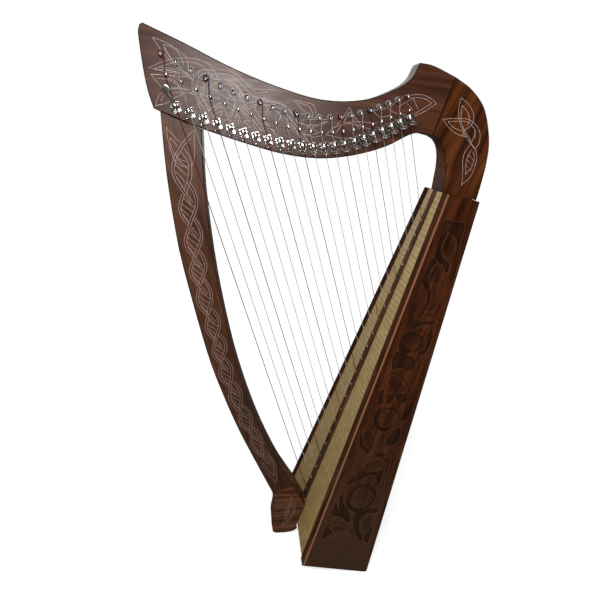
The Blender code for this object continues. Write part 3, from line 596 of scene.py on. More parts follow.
def stringPath(run):
    # a helix round the pin up to where the string leaves it, then straight to bridge pin, rib and knot
    way = run["start"] - run["tuning"]
    leave = math.atan2(way[1], way[0]) + math.acos(run["coilRadius"] / np.linalg.norm(way))
    t = np.linspace(coil["turns"], 0, int(coil["turns"] * coil["perTurn"]))
    a = leave + t * fullTurn
    y = stringDepth + np.minimum(t * 2 * run["radius"] * coil["pitch"] - coil["sink"], coil["room"])
    wound = np.stack([run["tuning"][0] + run["coilRadius"] * np.cos(a), y,
                      run["tuning"][1] + run["coilRadius"] * np.sin(a)], axis=1)
    start = upright(run["start"], stringDepth)
    drop = wound[-1] + (start - wound[-1]) * np.linspace(0.06, 0.97, 8)[:, None]
    span = start + (run["foot"] - start) * np.linspace(0.004, 0.999, 40)[:, None]
    inside = run["foot"] + (run["below"] - run["foot"]) * np.linspace(0.05, 1, 5)[:, None]
    return np.concatenate([wound, drop, [start], span, inside])


def stringKnot(run):
    # overhand knot: a trefoil curve behind the inner rib
    t = np.linspace(0, fullTurn, knot["steps"])
    loop = np.stack([np.sin(t) + 2 * np.sin(2 * t), np.cos(t) - 2 * np.cos(2 * t), -np.sin(3 * t)], axis=1)
    down = run["below"] - run["foot"]
    down /= np.linalg.norm(down)
    across = np.array([0, 1.0, 0])
    ways = np.array([across, np.cross(down, across), down])
    return run["below"] + down * knot["drop"] + knot["size"] * loop @ ways


def buildStrings():
    finishes = {kind: nylon(kind + "Nylon", *look) for kind, look in nylonLooks.items()}
    for run in runs:
        kind = next((k for k in ("red", "blue") if run["number"] in strings[k]), "clear")
        shape = several([tube(stringPath(run), run["radius"], 8),
                         tube(stringKnot(run), run["radius"] * knot["thickness"], 6)])
        meshPiece("string_" + run["label"], shape, finishes[kind])


buildStrings()
print("strings ready")


# tuning pins: dished near end, grooved neck, plain shank and a squared, tapered end for the key

tuningPin = {
    "radius": 3.0 * mm, "nearEnd": -35.5 * mm, "farEnd": 39.0 * mm, "keyLength": 13.0 * mm,
    "keySide": 4.8 * mm, "keyCorner": 0.97, "keyTaper": 0.837, "boreStart": -17.9 * mm,
    "boreEnd": 18.2 * mm, "dish": 1.5 * mm, "sides": 32,
    "steel": ((0.62, 0.60, 0.58), (0.34, 0.32, 0.31), 0.2),
}


def pinShape():
    # a radius for each depth; square goes from 0, a circle, to 1, a square with broken corners
    near, far = tuningPin["nearEnd"], tuningPin["farEnd"]
    key = far - tuningPin["keyLength"]
    dish = np.sin(np.linspace(0.08, 1, 5) * math.pi / 2)
    y = np.concatenate([near + (1 - dish) * tuningPin["dish"], near + np.array([4.5, 5.0, 9.0, 9.5]) * mm,
                        [tuningPin["boreStart"], tuningPin["boreEnd"]],
                        np.linspace(key - 2 * mm, key + 1.5 * mm, 5), [far - 1.2 * mm, far]])
    rim = 0.96 * np.sin(np.linspace(0.12, 1, 5) * math.pi / 2)
    share = np.concatenate([rim, [0.96, 0.9, 0.9], np.ones(10)])
    square = np.concatenate([np.zeros(11), np.linspace(0, 1, 5), [1, 1]])
    return y[:, None], share[:, None] * tuningPin["radius"], square[:, None]


def buildTuningPins():
    # rings about Y of the shape's radius, which goes over from a circle to a square
    y, r, square = pinShape()
    sides = tuningPin["sides"]
    a = np.linspace(0, fullTurn, sides, endpoint=False) + math.pi / sides
    flat = tuningPin["keySide"] / 2 / np.maximum(np.abs(np.cos(a)), np.abs(np.sin(a)))
    size = r * (1 - square) + np.minimum(flat, tuningPin["radius"] * tuningPin["keyCorner"]) * square
    size[-1] *= tuningPin["keyTaper"]
    ring = np.stack([np.cos(a) * size, np.broadcast_to(y, size.shape), np.sin(a) * size], axis=-1)
    steel = metal("tuningPinSteel", *tuningPin["steel"])
    for run in runs:
        piece = meshPiece("tuning_pin_look_" + run["label"],
                          (ring + upright(run["tuning"]), gridFaces(len(y), sides, caps=True)), steel,
                          "pin_" + run["label"])
        piece.data.flip_normals()
        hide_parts("tuning_pin_" + run["label"])


buildTuningPins()
print("tuning pins ready")


# bridge pins: polished, grooved for the string, with a domed head

bridge = {"radius": 1.95 * mm, "foot": 2.4375 * mm, "groove": 1.34 * mm, "head": 2.5 * mm, "dome": 1.35 * mm,
          "sides": 20, "nickel": ((0.86, 0.84, 0.80), (0.6, 0.56, 0.5), 0.14)}


def buildBridgePins():
    # distance from the neck against radius, spun: foot, shank, groove, head and a quarter circle over it
    parts = []
    a = np.linspace(0, math.pi / 2, 6)[1:]
    for run in runs:
        half = run["radius"] + strings["gap"]
        low, high = strings["height"] - half, strings["height"] + half
        top = high + 0.9 * mm
        profile = [(-0.5 * mm, bridge["foot"]), (0.5 * mm, bridge["foot"]), (0.8 * mm, bridge["radius"]),
                   (low - 0.5 * mm, bridge["radius"]), (low + 0.02 * mm, bridge["groove"]),
                   (high - 0.02 * mm, bridge["groove"]), (high + 0.45 * mm, bridge["head"] * 0.96),
                   (top, bridge["head"]),
                   *zip(top + bridge["dome"] * np.sin(a), bridge["head"] * np.cos(a) + 0.02 * mm)]
        centre = upright(run["bridge"], strings["neckFace"])
        parts.append(turned(profile, bridge["sides"], centre, (0, -1, 0), (1, 0, 0)))
    meshPiece("bridge_pins", several(parts), metal("bridgePinNickel", *bridge["nickel"]))


buildBridgePins()
print("bridge pins ready")


# sharping levers: cam barrel, arm and a rounded thumb plate, each on its own body

lever = {
    "width": 8.4 * mm, "gap": 0.3 * mm, "barrel": 3.9 * mm, "cam": 5.2 * mm, "reach": 24.5 * mm,
    "tab": 6.1 * mm, "setOff": -4.0 * mm, "tilt": math.radians(13), "restTilt": math.radians(70),
    "axle": 1.75 * mm, "break": 0.4 * mm, "shoulder": 1.2 * mm, "narrowing": 0.38, "squareness": 0.6,
    "thickness": (2.0 * mm, 1.2 * mm, 0.95 * mm, 0.7 * mm), "dish": 0.35 * mm, "dishWidth": 3.2 * mm,
    "chrome": ((0.78, 0.765, 0.745), (0.5, 0.48, 0.46), 0.12),
}


def leverBarrel(tilt, half):
    # a circle with a cam lobe at right angles to the arm, broken at both ends, with the axle's bore in it
    a = np.linspace(0, fullTurn, 40, endpoint=False)
    lift = np.maximum(0, np.cos(a - (tilt + math.radians(90) + lever["tilt"]))) ** 3
    r = lever["barrel"] + (lever["cam"] - lever["barrel"]) * lift
    bore = np.full(len(a), lever["axle"])
    size = np.stack([bore, r - lever["break"], r, r, r - lever["break"], bore])
    y = np.array([-half, -half, -half + lever["break"], half - lever["break"], half, half])[:, None]
    verts = np.stack([np.cos(a) * size, np.broadcast_to(y, size.shape), np.sin(a) * size], axis=-1)
    return verts, gridFaces(len(size), len(a), closedRows=True)


def leverArm(tilt, half):
    # an oval section carried outwards: it narrows, grows into a disc at its end and is dished there
    reach, tab = lever["reach"], lever["tab"]
    s = np.concatenate([np.linspace(lever["axle"] + 0.6 * mm, reach - tab, 8, endpoint=False),
                        reach - tab * np.cos(np.linspace(0.15, math.pi - 0.12, 14))])
    disc = np.sqrt(np.maximum(0, tab ** 2 - (s - reach) ** 2)) * (s > reach - tab)
    share = np.clip(s / reach, 0, 1)
    arm = (half - lever["shoulder"]) * (1 - lever["narrowing"] * share)
    wide = np.maximum(np.where(s < reach - 0.4 * tab, np.maximum(arm, disc), disc), 0.25 * mm)
    thick = np.interp(s, [0, reach - tab, reach, reach + tab], lever["thickness"])
    b = np.linspace(0, fullTurn, 20, endpoint=False)
    ovalY, ovalUp = (np.sign(v) * np.abs(v) ** lever["squareness"] for v in (np.cos(b), np.sin(b)))
    y = (lever["setOff"] * share ** 1.5)[:, None] + ovalY * wide[:, None]
    fromMiddle = ((s[:, None] - reach) ** 2 + (y - lever["setOff"]) ** 2) / lever["dishWidth"] ** 2
    up = ovalUp * thick[:, None] - np.where(ovalUp > 0, lever["dish"] * np.exp(-fromMiddle), 0)
    c, d = math.cos(tilt), math.sin(tilt)
    verts = np.stack([s[:, None] * c - up * d, y, s[:, None] * d + up * c], axis=-1)
    return verts, gridFaces(len(s), len(b), caps=True)


def buildLevers():
    chrome = metal("leverChrome", *lever["chrome"])
    half = lever["width"] / 2 - lever["gap"]
    for run in runs:
        body = "sharping_lever_" + run["label"]
        tilt = math.pi - lever["tilt"] if run["number"] == 1 else lever["restTilt"]  # the first is flipped
        local, faces = several([leverBarrel(tilt, half), leverArm(tilt, half)])
        verts = jointAt[body] + local @ np.array([upright(run["along"]), upright(run["across"]), (0, -1, 0)])
        piece = meshPiece("lever_look_" + run["label"], (verts, faces), chrome, body)
        outwards(piece)
        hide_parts("lever_" + run["label"])


buildLevers()
print("levers ready")


# carved side panels

panel = {
    "rows": 720, "columns": 122, "thickness": 7.0 * mm, "setBack": 1.5 * mm, "backGap": 5.3 * mm,
    "look": dict(dark=(0.024, 0.0055, 0.0010), light=(0.086, 0.0225, 0.0060), streak=(0.014, 0.005, 0.0026),
                 angle=75, streaks=0.5, shine=0.06),
    # the darkest colour on the next line is both the stain in the carving and the painted shade under its
    # edges
    "stainAndShade": (0.010, 0.0042, 0.0024), "stainAndShadeAmount": 0.88, "rubbed": (0.15, 0.062, 0.030),
    # the greyish colour on the next line is a painted sheen for the panel's foot
    "rubbedAmount": 0.42, "paintedFootSheen": (0.046, 0.026, 0.015), "sharpAngle": 50,
}
# depths and widths of the knife's work, in mm
carving = {
    "ground": 2.2, "groundSlope": 1.2, "shoulder": 0.5, "shoulderReach": 3.5, "stipple": 0.18, "hollow": 1.2,
    "hollowReach": 8.0, "cut": 1.1, "cutWidth": 1.25, "ring": 1.7, "crown": 0.8, "net": 0.6, "netLine": 0.75,
    "slantStep": 8.0, "crossStep": 8.5,
}


def outlines(rows):
    # each row lists its points, two measures each, in mm
    return [np.reshape(row, (-1, 2)).astype(float) for row in rows]


# sunk grounds, shallow hollows and single cuts: height up the panel, distance from its front edge
grounds = outlines([
    [59,14, 72,13, 86,13, 80,22, 72,30, 66,21], [112,14, 124,13, 137,13, 126,20, 115,28, 109,33],
    [100,52, 107,37, 120,26, 138,19, 153,16, 152,21, 138,26, 127,36, 115,47],
    [138,32, 127,42, 121,58, 122,74, 126,93, 136,94, 133,84, 130,74, 128,60, 132,46, 142,36],
    [65,87, 82,70, 100,60, 117,57, 122,64, 123,76, 112,71, 100,70, 86,76, 73,87],
    [61,101, 70,92, 80,91, 88,95, 96,98, 80,101], [174,21, 186,21, 194,31, 189,42, 184,35, 179,27],
    [190,35, 206,31, 204,46, 207,62, 212,74, 190,78, 185,75, 199,67, 201,57, 192,46],
    [240,48, 246,58, 244,70, 239,64], [240,34, 252,18, 270,9, 286,9, 270,13, 256,22, 246,36],
    [296,27, 310,21, 325,22, 332,28, 316,26, 302,31, 294,42, 293,56, 288,50, 289,37],
    [336,19, 350,14, 362,13, 363,20, 349,22, 341,27], [346,56, 352,47, 360,44, 361,60, 350,67],
    [262,62, 277,60, 292,66, 298,75, 280,80, 266,77], [312,72, 330,71, 345,73, 352,79, 335,81, 318,80],
    [404,20, 415,15, 430,13, 437,19, 433,30, 431,45, 424,54, 411,54, 406,47, 409,35],
    [434,30, 440,18, 450,14, 465,14, 473,22, 474,36, 470,36, 468,26, 460,21, 450,21, 442,27, 437,38],
    [484,22, 494,33, 500,58, 495,58, 489,41, 481,28],
    [437,58, 457,62, 475,57, 484,60, 474,66, 455,67, 439,63],
    [500,29, 525,33, 540,30, 550,23, 559,13, 568,10, 590,10, 602,13, 597,22, 590,18, 575,17, 564,19,
     555,29, 540,35, 525,37, 510,35],
    [584,45, 595,36, 601,24, 614,15, 650,12, 647,21, 630,19, 616,22, 606,31, 601,43, 591,47],
    [652,11, 660,10, 668,11, 668,27, 668,43, 646,47, 628,49, 644,39, 651,26],
])
hollows = outlines([
    [73,33, 84,19, 94,28, 94,42, 86,56, 79,50], [80,88, 92,76, 108,73, 121,82, 124,93, 104,96, 88,97],
    [210,36, 220,34, 231,45, 234,60, 228,74, 219,76, 211,62, 208,48],
    [244,34, 254,22, 270,13, 286,14, 285,27, 277,37, 262,42, 250,42],
    [337,31, 350,25, 361,25, 361,38, 352,44, 341,42],
    [377,16, 391,20, 394,32, 386,46, 374,60, 364,58, 363,43, 369,27],
    [560,34, 566,24, 580,20, 594,23, 594,32, 586,42, 570,44],
    [606,42, 610,32, 622,23, 640,22, 646,28, 640,38, 626,44],
])
cuts = outlines([
    [88,16, 97,25, 97,37, 92,49, 83,61, 75,74], [157,31, 170,35, 179,47, 180,61, 172,75, 160,80],
    [214,29, 207,43, 207,60, 213,74, 221,81], [214,29, 228,38, 237,52, 237,66, 230,80],
    [178,78, 180,91, 205,89, 240,84, 250,80, 246,71], [184,84, 210,82, 238,76], [250,40, 262,28, 280,14],
    [254,26, 262,29], [262,19, 268,24], [262,37, 268,25], [272,33, 275,19],
    [377,13, 368,25, 361,41, 360,55, 364,65], [377,13, 392,17, 397,28, 391,43, 381,55, 369,66],
    [380,22, 379,36, 371,54], [379,30, 386,27], [377,40, 385,38], [378,33, 371,32], [375,44, 367,42],
    [177,44, 184,40], [180,60, 197,57], [177,72, 186,74], [262,52, 276,51, 288,58], [340,52, 333,62, 324,68],
    [509,34, 508,46, 510,59], [516,36, 524,47, 540,52], [476,14, 486,19, 493,27], [415,62, 430,62, 443,70],
    [84,27, 84,47], [92,84, 112,88], [570,32, 590,29], [614,34, 640,29], [330,13, 345,10, 360,9],
    [398,60, 410,62, 424,70],
])
# flower heads: middle, radius, and whether the net of cuts covers only the upper half
flowers = [(153, 56, 24, True), (313, 46, 20, False), (456, 38, 15, True)]


def smoothStep(value, low, high):
    t = np.clip((value - low) / (high - low), 0, 1)
    return t * t * (3 - 2 * t)


def hump(value, width):
    return np.exp(-(value / width) ** 2)


def away(z, x, curve):
    # shortest distance from each point to a chain of straight bits
    a, step = curve[:-1], curve[1:] - curve[:-1]
    pz, px = z[:, None] - a[:, 0], x[:, None] - a[:, 1]
    t = np.clip((pz * step[:, 0] + px * step[:, 1]) / (step ** 2).sum(axis=1), 0, 1)
    return np.hypot(pz - t * step[:, 0], px - t * step[:, 1]).min(axis=1)


def within(z, x, curve):
    # true where a line straight back from the point crosses the outline an odd number of times
    a, b = curve[:-1], curve[1:]
    rise = np.where(b[:, 0] == a[:, 0], 1e-9, b[:, 0] - a[:, 0])
    spans = (a[:, 0] > z[:, None]) != (b[:, 0] > z[:, None])
    at = a[:, 1] + (z[:, None] - a[:, 0]) / rise * (b[:, 1] - a[:, 1])
    return (spans & (x[:, None] < at)).sum(axis=1) % 2 == 1


def nearby(z, x, points, closed):
    # the grid points round a curve, and their distances to it: for an outline, less than nothing outside it
    low, high = points.min(axis=0) - 5, points.max(axis=0) + 5
    near = (z > low[0]) & (z < high[0]) & (x > low[1]) & (x < high[1])
    curve = catmull(points, 7, closed)
    distance = away(z[near], x[near], curve)
    return near, distance * np.where(within(z[near], x[near], curve), 1, -1) if closed else distance


def deepen(layer, where, value):
    layer[where] = np.maximum(layer[where], value)


def relief(z, x):
    # depth of the carving in mm, with masks of the stain left in it together with painted shade under the
    # motif's edges, and of its rubbed edges
    depth, stainAndShade, rubbed = np.zeros((3, *z.shape))
    for points in hollows:
        near, edge = nearby(z, x, points, True)
        depth[near] += carving["hollow"] * smoothStep(edge, -0.5, carving["hollowReach"])
        deepen(stainAndShade, near, 0.42 * smoothStep(edge, 0.5, carving["hollowReach"]))
        deepen(rubbed, near, 0.5 * hump(edge, 0.6))
    for cz, cx, radius, half in flowers:
        up, back = z - cz, x - cx
        out = np.hypot(up, back)
        ring = hump(out - radius, carving["ring"])
        slant = up * 0.9 + back * 0.5 + 1.3 * np.sin(back * 0.35)
        cross = up * 0.4 - back * 0.95 + 1.1 * np.sin(up * 0.4)
        net = hump(slant % carving["slantStep"] - 4.0, carving["netLine"])
        net = np.minimum(net + hump(cross % carving["crossStep"] - 4.2, carving["netLine"]), 1)
        net = net * smoothStep(radius - 2.0 - out, 0, 2.0) * (smoothStep(up, -9, 3) if half else 1)
        head = np.where(out < radius, carving["crown"] * (out / radius) ** 4 + carving["net"] * net, 0)
        deepen(depth, ..., np.maximum(head, carving["cut"] * ring))
        deepen(stainAndShade, ..., np.maximum(0.9 * ring, 0.75 * net))
    for points in grounds:
        near, edge = nearby(z, x, points, True)
        stipple = np.sin(z[near] * 1.9 + np.sin(x[near] * 1.3) * 2) * np.sin(x[near] * 2.1)
        stipple *= carving["stipple"]
        deepen(depth, near, (carving["ground"] + stipple) * smoothStep(edge, -0.5, carving["groundSlope"]))
        deepen(depth, near, carving["shoulder"] * smoothStep(edge, -carving["shoulderReach"], 0))
        # stain over the sunk ground, with painted shade added close under the motif's edges
        groundStainAndShade = np.minimum(0.60 + 0.40 * hump(edge, 2.0) + 0.35 * stipple, 1)
        deepen(stainAndShade, near, smoothStep(edge, -0.6, 0.8) * groundStainAndShade)
        deepen(rubbed, near, 0.6 * hump(edge + 1.2, 0.55))
    for points in cuts:
        near, distance = nearby(z, x, points, False)
        line = smoothStep(carving["cutWidth"] - distance, 0, carving["cutWidth"])
        deepen(depth, near, carving["cut"] * line)
        deepen(stainAndShade, near, 0.95 * line)
    return depth, stainAndShade, rubbed * (1 - stainAndShade)


def panelFinish(name, sign):
    # carved grounds hold more stain and painted shade, the edges beside them are rubbed pale, and the panel's
    # foot is greyed by a painted sheen
    made = wood(name + "Rosewood", shift=0.3 * sign, **panel["look"])
    tree = made.node_tree
    shader = tree.nodes["Principled BSDF"]
    # painted sheen: the panel's foot is mixed towards a greyer colour
    low = ramp(tree, axisOf(tree, coordinate(tree), "Z"), (0.05, 0.75), (0.34, 0.0))
    rubbed, stainAndShade = (times(tree, node(tree, "Attribute", {"attribute_name": kind})["Fac"], panel[amount])
                     for kind, amount in (("rubbed", "rubbedAmount"), ("stainedAndShaded", "stainAndShadeAmount")))
    colour = mix(tree, low, soFar(shader, "Base Color"), panel["paintedFootSheen"])
    colour = mix(tree, rubbed, colour, panel["rubbed"])
    feedAll(tree, shader, Base_Color=mix(tree, stainAndShade, colour, panel["stainAndShade"]),
            Roughness=maths(tree, "MULTIPLY_ADD", stainAndShade, 0.3, soFar(shader, "Roughness")))
    return made


def buildPanel(name, sign):
    # the outer face is a grid over height and depth, pushed in by the carving; the rest closes it to a board
    rows, columns = panel["rows"], panel["columns"]
    height = np.linspace(box["bottom"], box["top"], rows)[:, None]
    front = boxAt("front", height) + panel["setBack"]
    back = boxAt("back", height) - panel["backGap"]
    x = front + (back - front) * np.linspace(0, 1, columns)
    z = np.maximum(height, x * math.tan(box["lean"]) + 0.1 * mm)  # cut off level with the leaned box's foot
    depth, stainAndShade, rubbed = relief((z - box["bottom"]) / mm, (x - front) / mm)
    flat = standing(np.stack([x, z], axis=-1))
    face = np.stack([flat[..., 0], sign * (boxAt("width", z) / 2 - depth * mm), flat[..., 1]], axis=-1)
    index = np.arange(rows * columns).reshape(rows, columns)
    loop = np.concatenate([index[0], index[1:-1, -1], index[-1, ::-1], index[-2:0:-1, 0]])
    inner = face.reshape(-1, 3)[loop]
    inner[:, 1] = sign * (boxAt("width", z.ravel()[loop]) / 2 - panel["thickness"])
    ring = rows * columns + np.arange(len(loop))
    faces = gridFaces(rows, columns, closedColumns=False)
    faces += np.stack([loop, ring, np.roll(ring, -1), np.roll(loop, -1)], axis=1).tolist()
    faces.append(ring[::-1].tolist())
    verts = np.concatenate([face.reshape(-1, 3), inner])
    piece = meshPiece(name + "_carved", (verts, faces), panelFinish(name, sign))
    for label, values in (("stainedAndShaded", stainAndShade), ("rubbed", rubbed)):
        layer = piece.data.attributes.new(label, "FLOAT", "POINT")
        layer.data.foreach_set("value", np.concatenate([values.ravel(), np.zeros(len(loop))]))
    outwards(piece)
    piece.data.set_sharp_from_angle(angle=math.radians(panel["sharpAngle"]))
    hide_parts(name)


buildPanel("side_panel_near", -1)
buildPanel("side_panel_far", 1)
print("side panels carved")


# knotwork let into the near faces, drawn as fine ribbons

inlay = {"width": 0.46 * mm, "lift": 0.06 * mm, "depth": 0.15 * mm, "steps": 8, "colour": (0.64, 0.48, 0.43),
         # low is the share of the colour kept where painted shade darkens the filling near the floor
         "dull": 0.62, "low": 0.25}
inlayFace = {"neck": -18 * mm, "pillar": -21 * mm, "foot_block": -21 * mm}
# lines of the knotwork: distance along X, height
neckLines = outlines([
    [-209,911, -190,905, -173,896, -162,886, -159,873], [-194,903, -181,899, -171,890, -166,876],
    [-209,911, -197,894, -180,876, -164,865, -149,855], [-194,902, -183,884, -167,872, -151,864],
    [-217,870, -195,880, -173,885, -154,886, -137,883, -125,876, -118,864, -113,850],
    [-208,870, -183,878, -159,881, -142,878, -130,869, -123,857],
    [-217,870, -203,869, -186,868, -167,863, -149,855], [-203,872, -184,871, -164,867, -148,860],
    [-214,862, -196,862, -179,859, -168,849, -164,836, -164,824], [-214,862, -205,851, -194,839, -183,827],
    [-205,857, -187,855, -175,847, -170,833],
    [-210,818, -204,833, -190,841, -173,844, -152,841, -131,836, -114,832],
    [-210,818, -194,823, -182,830, -166,838, -148,838, -129,832],
    [-152,837, -155,850, -151,861, -142,870, -131,872, -120,870],
    [-147,838, -149,849, -146,858, -140,865, -131,867, -123,864],
    [-139,827, -143,839, -138,848, -128,853, -116,851, -108,845],
    [-118,873, -101,872, -85,865, -72,854, -58,842], [-116,867, -98,866, -86,858, -74,847, -58,835, -43,836],
    [-108,861, -95,857, -84,847, -74,834, -58,828], [-150,836, -141,820, -132,804, -120,787],
    [-143,839, -135,823, -124,806, -113,792], [-129,809, -119,818, -106,823, -95,816, -99,800],
    [-132,814, -119,824, -102,827, -89,817, -93,798], [-99,838, -91,828, -96,812, -109,800, -124,797],
    [-86,822, -68,828, -48,832, -28,830, -12,824, 0,811, 10,794, 21,777],
    [-84,816, -66,822, -48,826, -30,825, -17,819, -5,806, 5,789, 13,776],
    [-86,822, -73,811, -61,799, -48,788, -32,780], [-76,801, -63,789, -50,782],
    [-40,812, -35,819, -25,817, -21,810, -26,800], [-1,835, 19,832, 30,828, 34,817],
    [6,831, 20,828, 27,821, 29,813], [-1,835, 11,823, 26,813, 42,808, 56,810],
    [15,784, 25,800, 38,799, 54,806], [4,803, 28,799, 51,806], [10,789, 31,782, 47,786],
    [-6,801, 6,789, 16,778, 24,775], [86,828, 72,806, 51,786], [86,828, 99,810, 111,798],
    [85,819, 76,802, 66,789], [88,820, 96,807, 105,796], [51,786, 82,782, 111,788],
    [60,796, 94,807, 132,806], [75,806, 100,802, 122,797],
    [226,839, 211,848, 197,851, 176,848, 161,840, 151,832, 135,826, 124,826],
    [226,839, 206,826, 190,818, 165,800, 137,778], [218,839, 206,845, 188,846, 174,838, 164,832],
    [218,839, 202,829, 186,819], [148,828, 162,822, 184,820], [123,826, 136,816, 152,819],
    [-193,898, -188,889, -180,880, -170,871, -160,864, -152,857], [-171,874, -160,868, -151,862],
    [-215,870, -203,868, -189,866, -175,865, -164,867], [-202,873, -189,869, -176,867],
    [-215,861, -197,862, -182,862, -170,860, -160,862], [-191,858, -181,855, -174,848, -168,837, -165,826],
    [-187,844, -171,845, -154,841, -139,835, -124,833], [-186,838, -168,839, -154,837, -138,831, -126,829],
    [-202,825, -197,833, -190,838], [-209,819, -202,821, -194,822], [-151,835, -147,824, -143,814],
    [-146,833, -140,822, -132,816], [-138,834, -138,845, -133,852, -124,858, -113,860],
    [-132,835, -131,844, -125,851, -116,854], [-138,831, -133,823, -127,817],
    [-132,813, -124,819, -115,821, -108,818, -105,809],
    [-125,808, -117,813, -111,814, -114,808, -120,805, -125,808], [-107,822, -103,831, -97,837],
    [-91,837, -91,829, -95,817, -102,810], [-128,849, -119,843, -109,836, -102,834],
    [-124,858, -113,850, -102,842, -97,837], [-148,845, -145,854, -138,860], [-144,849, -139,845],
    [-141,854, -135,851], [-106,859, -97,856, -86,848, -77,836, -73,828],
    [-106,854, -98,852, -90,844, -82,835, -76,825], [-84,824, -71,815, -61,801, -50,787],
    [-76,824, -65,814, -54,801, -45,788], [-64,824, -56,813, -45,802, -34,790, -26,780],
    [-47,803, -40,796, -29,787], [-82,818, -73,806, -62,795, -55,784], [-44,813, -41,820, -33,824, -25,824],
    [-27,817, -22,813, -23,805], [-79,800, -73,803, -65,798, -68,793, -75,793], [-79,822, -61,826, -55,827],
    [-43,833, -26,831, -13,825, -4,815, 5,805], [-14,809, -5,796, 7,784, 15,774],
    [-8,812, 2,800, 13,789, 23,776], [11,803, 25,796, 38,790], [47,804, 33,799, 26,792],
    [15,785, 31,786, 43,790], [10,815, 17,816], [11,806, 23,808, 39,808], [-103,814, -102,805, -97,800],
    [-87,817, -87,806, -85,797],
])
neckCorners = outlines([
    [-63,848, -32,848, -43,835], [-57,843, -41,844, -48,837], [177,838, 188,828], [187,845, 196,830],
])
shoulderLines = outlines([
    [265,849, 277,841, 287,829, 290,817, 286,807, 277,801, 275,791],
    [265,849, 263,833, 266,817, 272,804, 283,788, 296,773], [268,838, 278,829, 283,818, 281,808],
    [268,838, 268,826, 271,811, 278,799, 290,784],
    [239,816, 258,818, 278,818, 293,811, 303,797, 303,781, 297,773], [239,816, 252,803, 267,794, 282,791],
    [248,813, 264,814, 281,813, 293,803, 296,789], [248,813, 259,804, 274,799],
    [281,715, 281,736, 279,752, 281,766, 288,778, 293,789, 295,802],
    [281,715, 294,728, 300,744, 302,760, 297,773, 287,784], [286,732, 285,749, 287,761, 292,771],
    [286,732, 295,744, 298,758, 295,768], [286,755, 296,747], [287,763, 298,754], [286,745, 295,739],
])
footLines = outlines([
    [16,93, 14,77, 7,60, 4,38, 1,18], [16,93, 24,73, 24,52, 16,35, 1,18], [17,78, 14,67, 10,54, 9,41, 8,29],
    [17,78, 21,66, 21,52, 16,40, 8,29], [16,67, 12,55, 15,45],
])
# the two tips over the pillar's braid, and the leaf that ends it
braidTips = outlines([
    [-195,789, -194,774, -191,758, -186,743, -182,737, -173,732, -165,731],
    [-190,774, -190,765, -187,755, -182,747, -177,742, -167,739], [-195,789, -186,778, -175,766],
    [-190,774, -184,767, -178,760], [-152,786, -159,781, -167,773, -175,762, -183,750],
    [-158,774, -167,766, -175,755, -179,747], [-153,785, -154,766, -154,752, -156,738, -159,732],
    [-170,758, -164,750, -160,742, -159,730, -160,713, -166,698, -169,688],
    [-175,754, -170,747, -165,739, -164,727, -166,713, -172,695], [-45,180, -38,160, -27,143, -16,126],
    [-38,203, -30,193, -20,178, -14,159, -14,141, -16,126], [-41,176, -29,155, -19,144],
    [-41,196, -33,188, -25,180, -20,165, -19,144],
])
# where the strands cross on the middle line of the pillar, from the tips down to the end of the leaf
braidCrossings = [(-180, 753), (-172, 691), (-165, 636), (-159, 583), (-152, 534), (-139, 481),
                  (-127, 434), (-118, 389), (-102, 340), (-84, 290), (-64, 241), (-41, 186), (-16, 129)]
# a strand's way through one cell: share of the cell from its upper crossing, share of the reach to the right
braid = {
    "left": [(0.03, -0.10), (0.12, -0.30), (0.34, -0.68), (0.50, -0.74), (0.71, -0.53), (0.92, -0.12),
             (1.21, 0.45), (1.30, 0.60)],
    "right": [(-0.26, 0.58), (-0.03, 0.98), (0.24, 1.15), (0.50, 0.90), (0.81, 0.24), (0.95, -0.02)],
    "topReach": 15.4, "endReach": 11.0, "strand": 4.0, "bars": (0.14, 0.28, 0.42, 0.55), "barDrop": 0.31,
}


def ribbon(points, target, corners=False):
    # a flat strip: the line moved to both sides by half its width, let into the wood and just proud of it
    p = np.asarray(points) * mm + np.array([harpShift, 0])
    if not corners:
        p = catmull(p, inlay["steps"])
    side = aside(slopes(p)) * inlay["width"] / 2
    edge = np.concatenate([p + side, p - side])
    y = np.full(len(edge), inlayFace[target]) if target in inlayFace else faceY(target, *edge.T)
    left, right = np.stack([edge[:, 0], y - inlay["lift"], edge[:, 1]], axis=1).reshape(2, -1, 3)
    sunk = np.array([0, inlay["depth"], 0])
    return np.stack([left, right, right + sunk, left + sunk], axis=1), gridFaces(len(p), 4, caps=True)


def braidPoint(cells, across):
    # a point of the smooth middle line, counted in cells from the top, moved sideways by a share of the reach
    last = len(braidCrossings) - 1
    steps = np.linspace(0, last, 16 * last + 1)
    curve = catmull(braidCrossings, 16)
    side = aside(slopes(curve))
    reach = np.interp(cells, [0, last], [braid["topReach"], braid["endReach"]])
    flat = [np.interp(cells, steps, c) + np.interp(cells, steps, s) * reach * across
            for c, s in zip(curve.T, side.T)]
    return np.stack(flat, axis=-1)


def braidLines():
    # both edges of every strand, and the slanting bars between the strands
    lines = []
    half = braid["strand"] / 2
    for cell in range(len(braidCrossings) - 2):
        for strand in ("left", "right") if cell else ("left",):
            way = catmull(braid[strand], 6)
            middle = braidPoint(way[:, 0] + cell, way[:, 1])
            normal = aside(slopes(middle)) * half
            lines += [middle + normal, middle - normal]
        left, right = (catmull(braid[strand], 12) for strand in ("left", "right"))
        reach = braid["topReach"] + (braid["endReach"] - braid["topReach"]) * cell / (len(braidCrossings) - 1)
        for start in braid["bars"]:
            end = start + braid["barDrop"]
            a = np.interp(start, left[:, 0], left[:, 1]) + half / reach
            b = np.interp(end, right[:, 0], right[:, 1]) - half / reach
            lines.append(braidPoint(cell + np.array([start, end]), np.array([a, b])))
    return lines


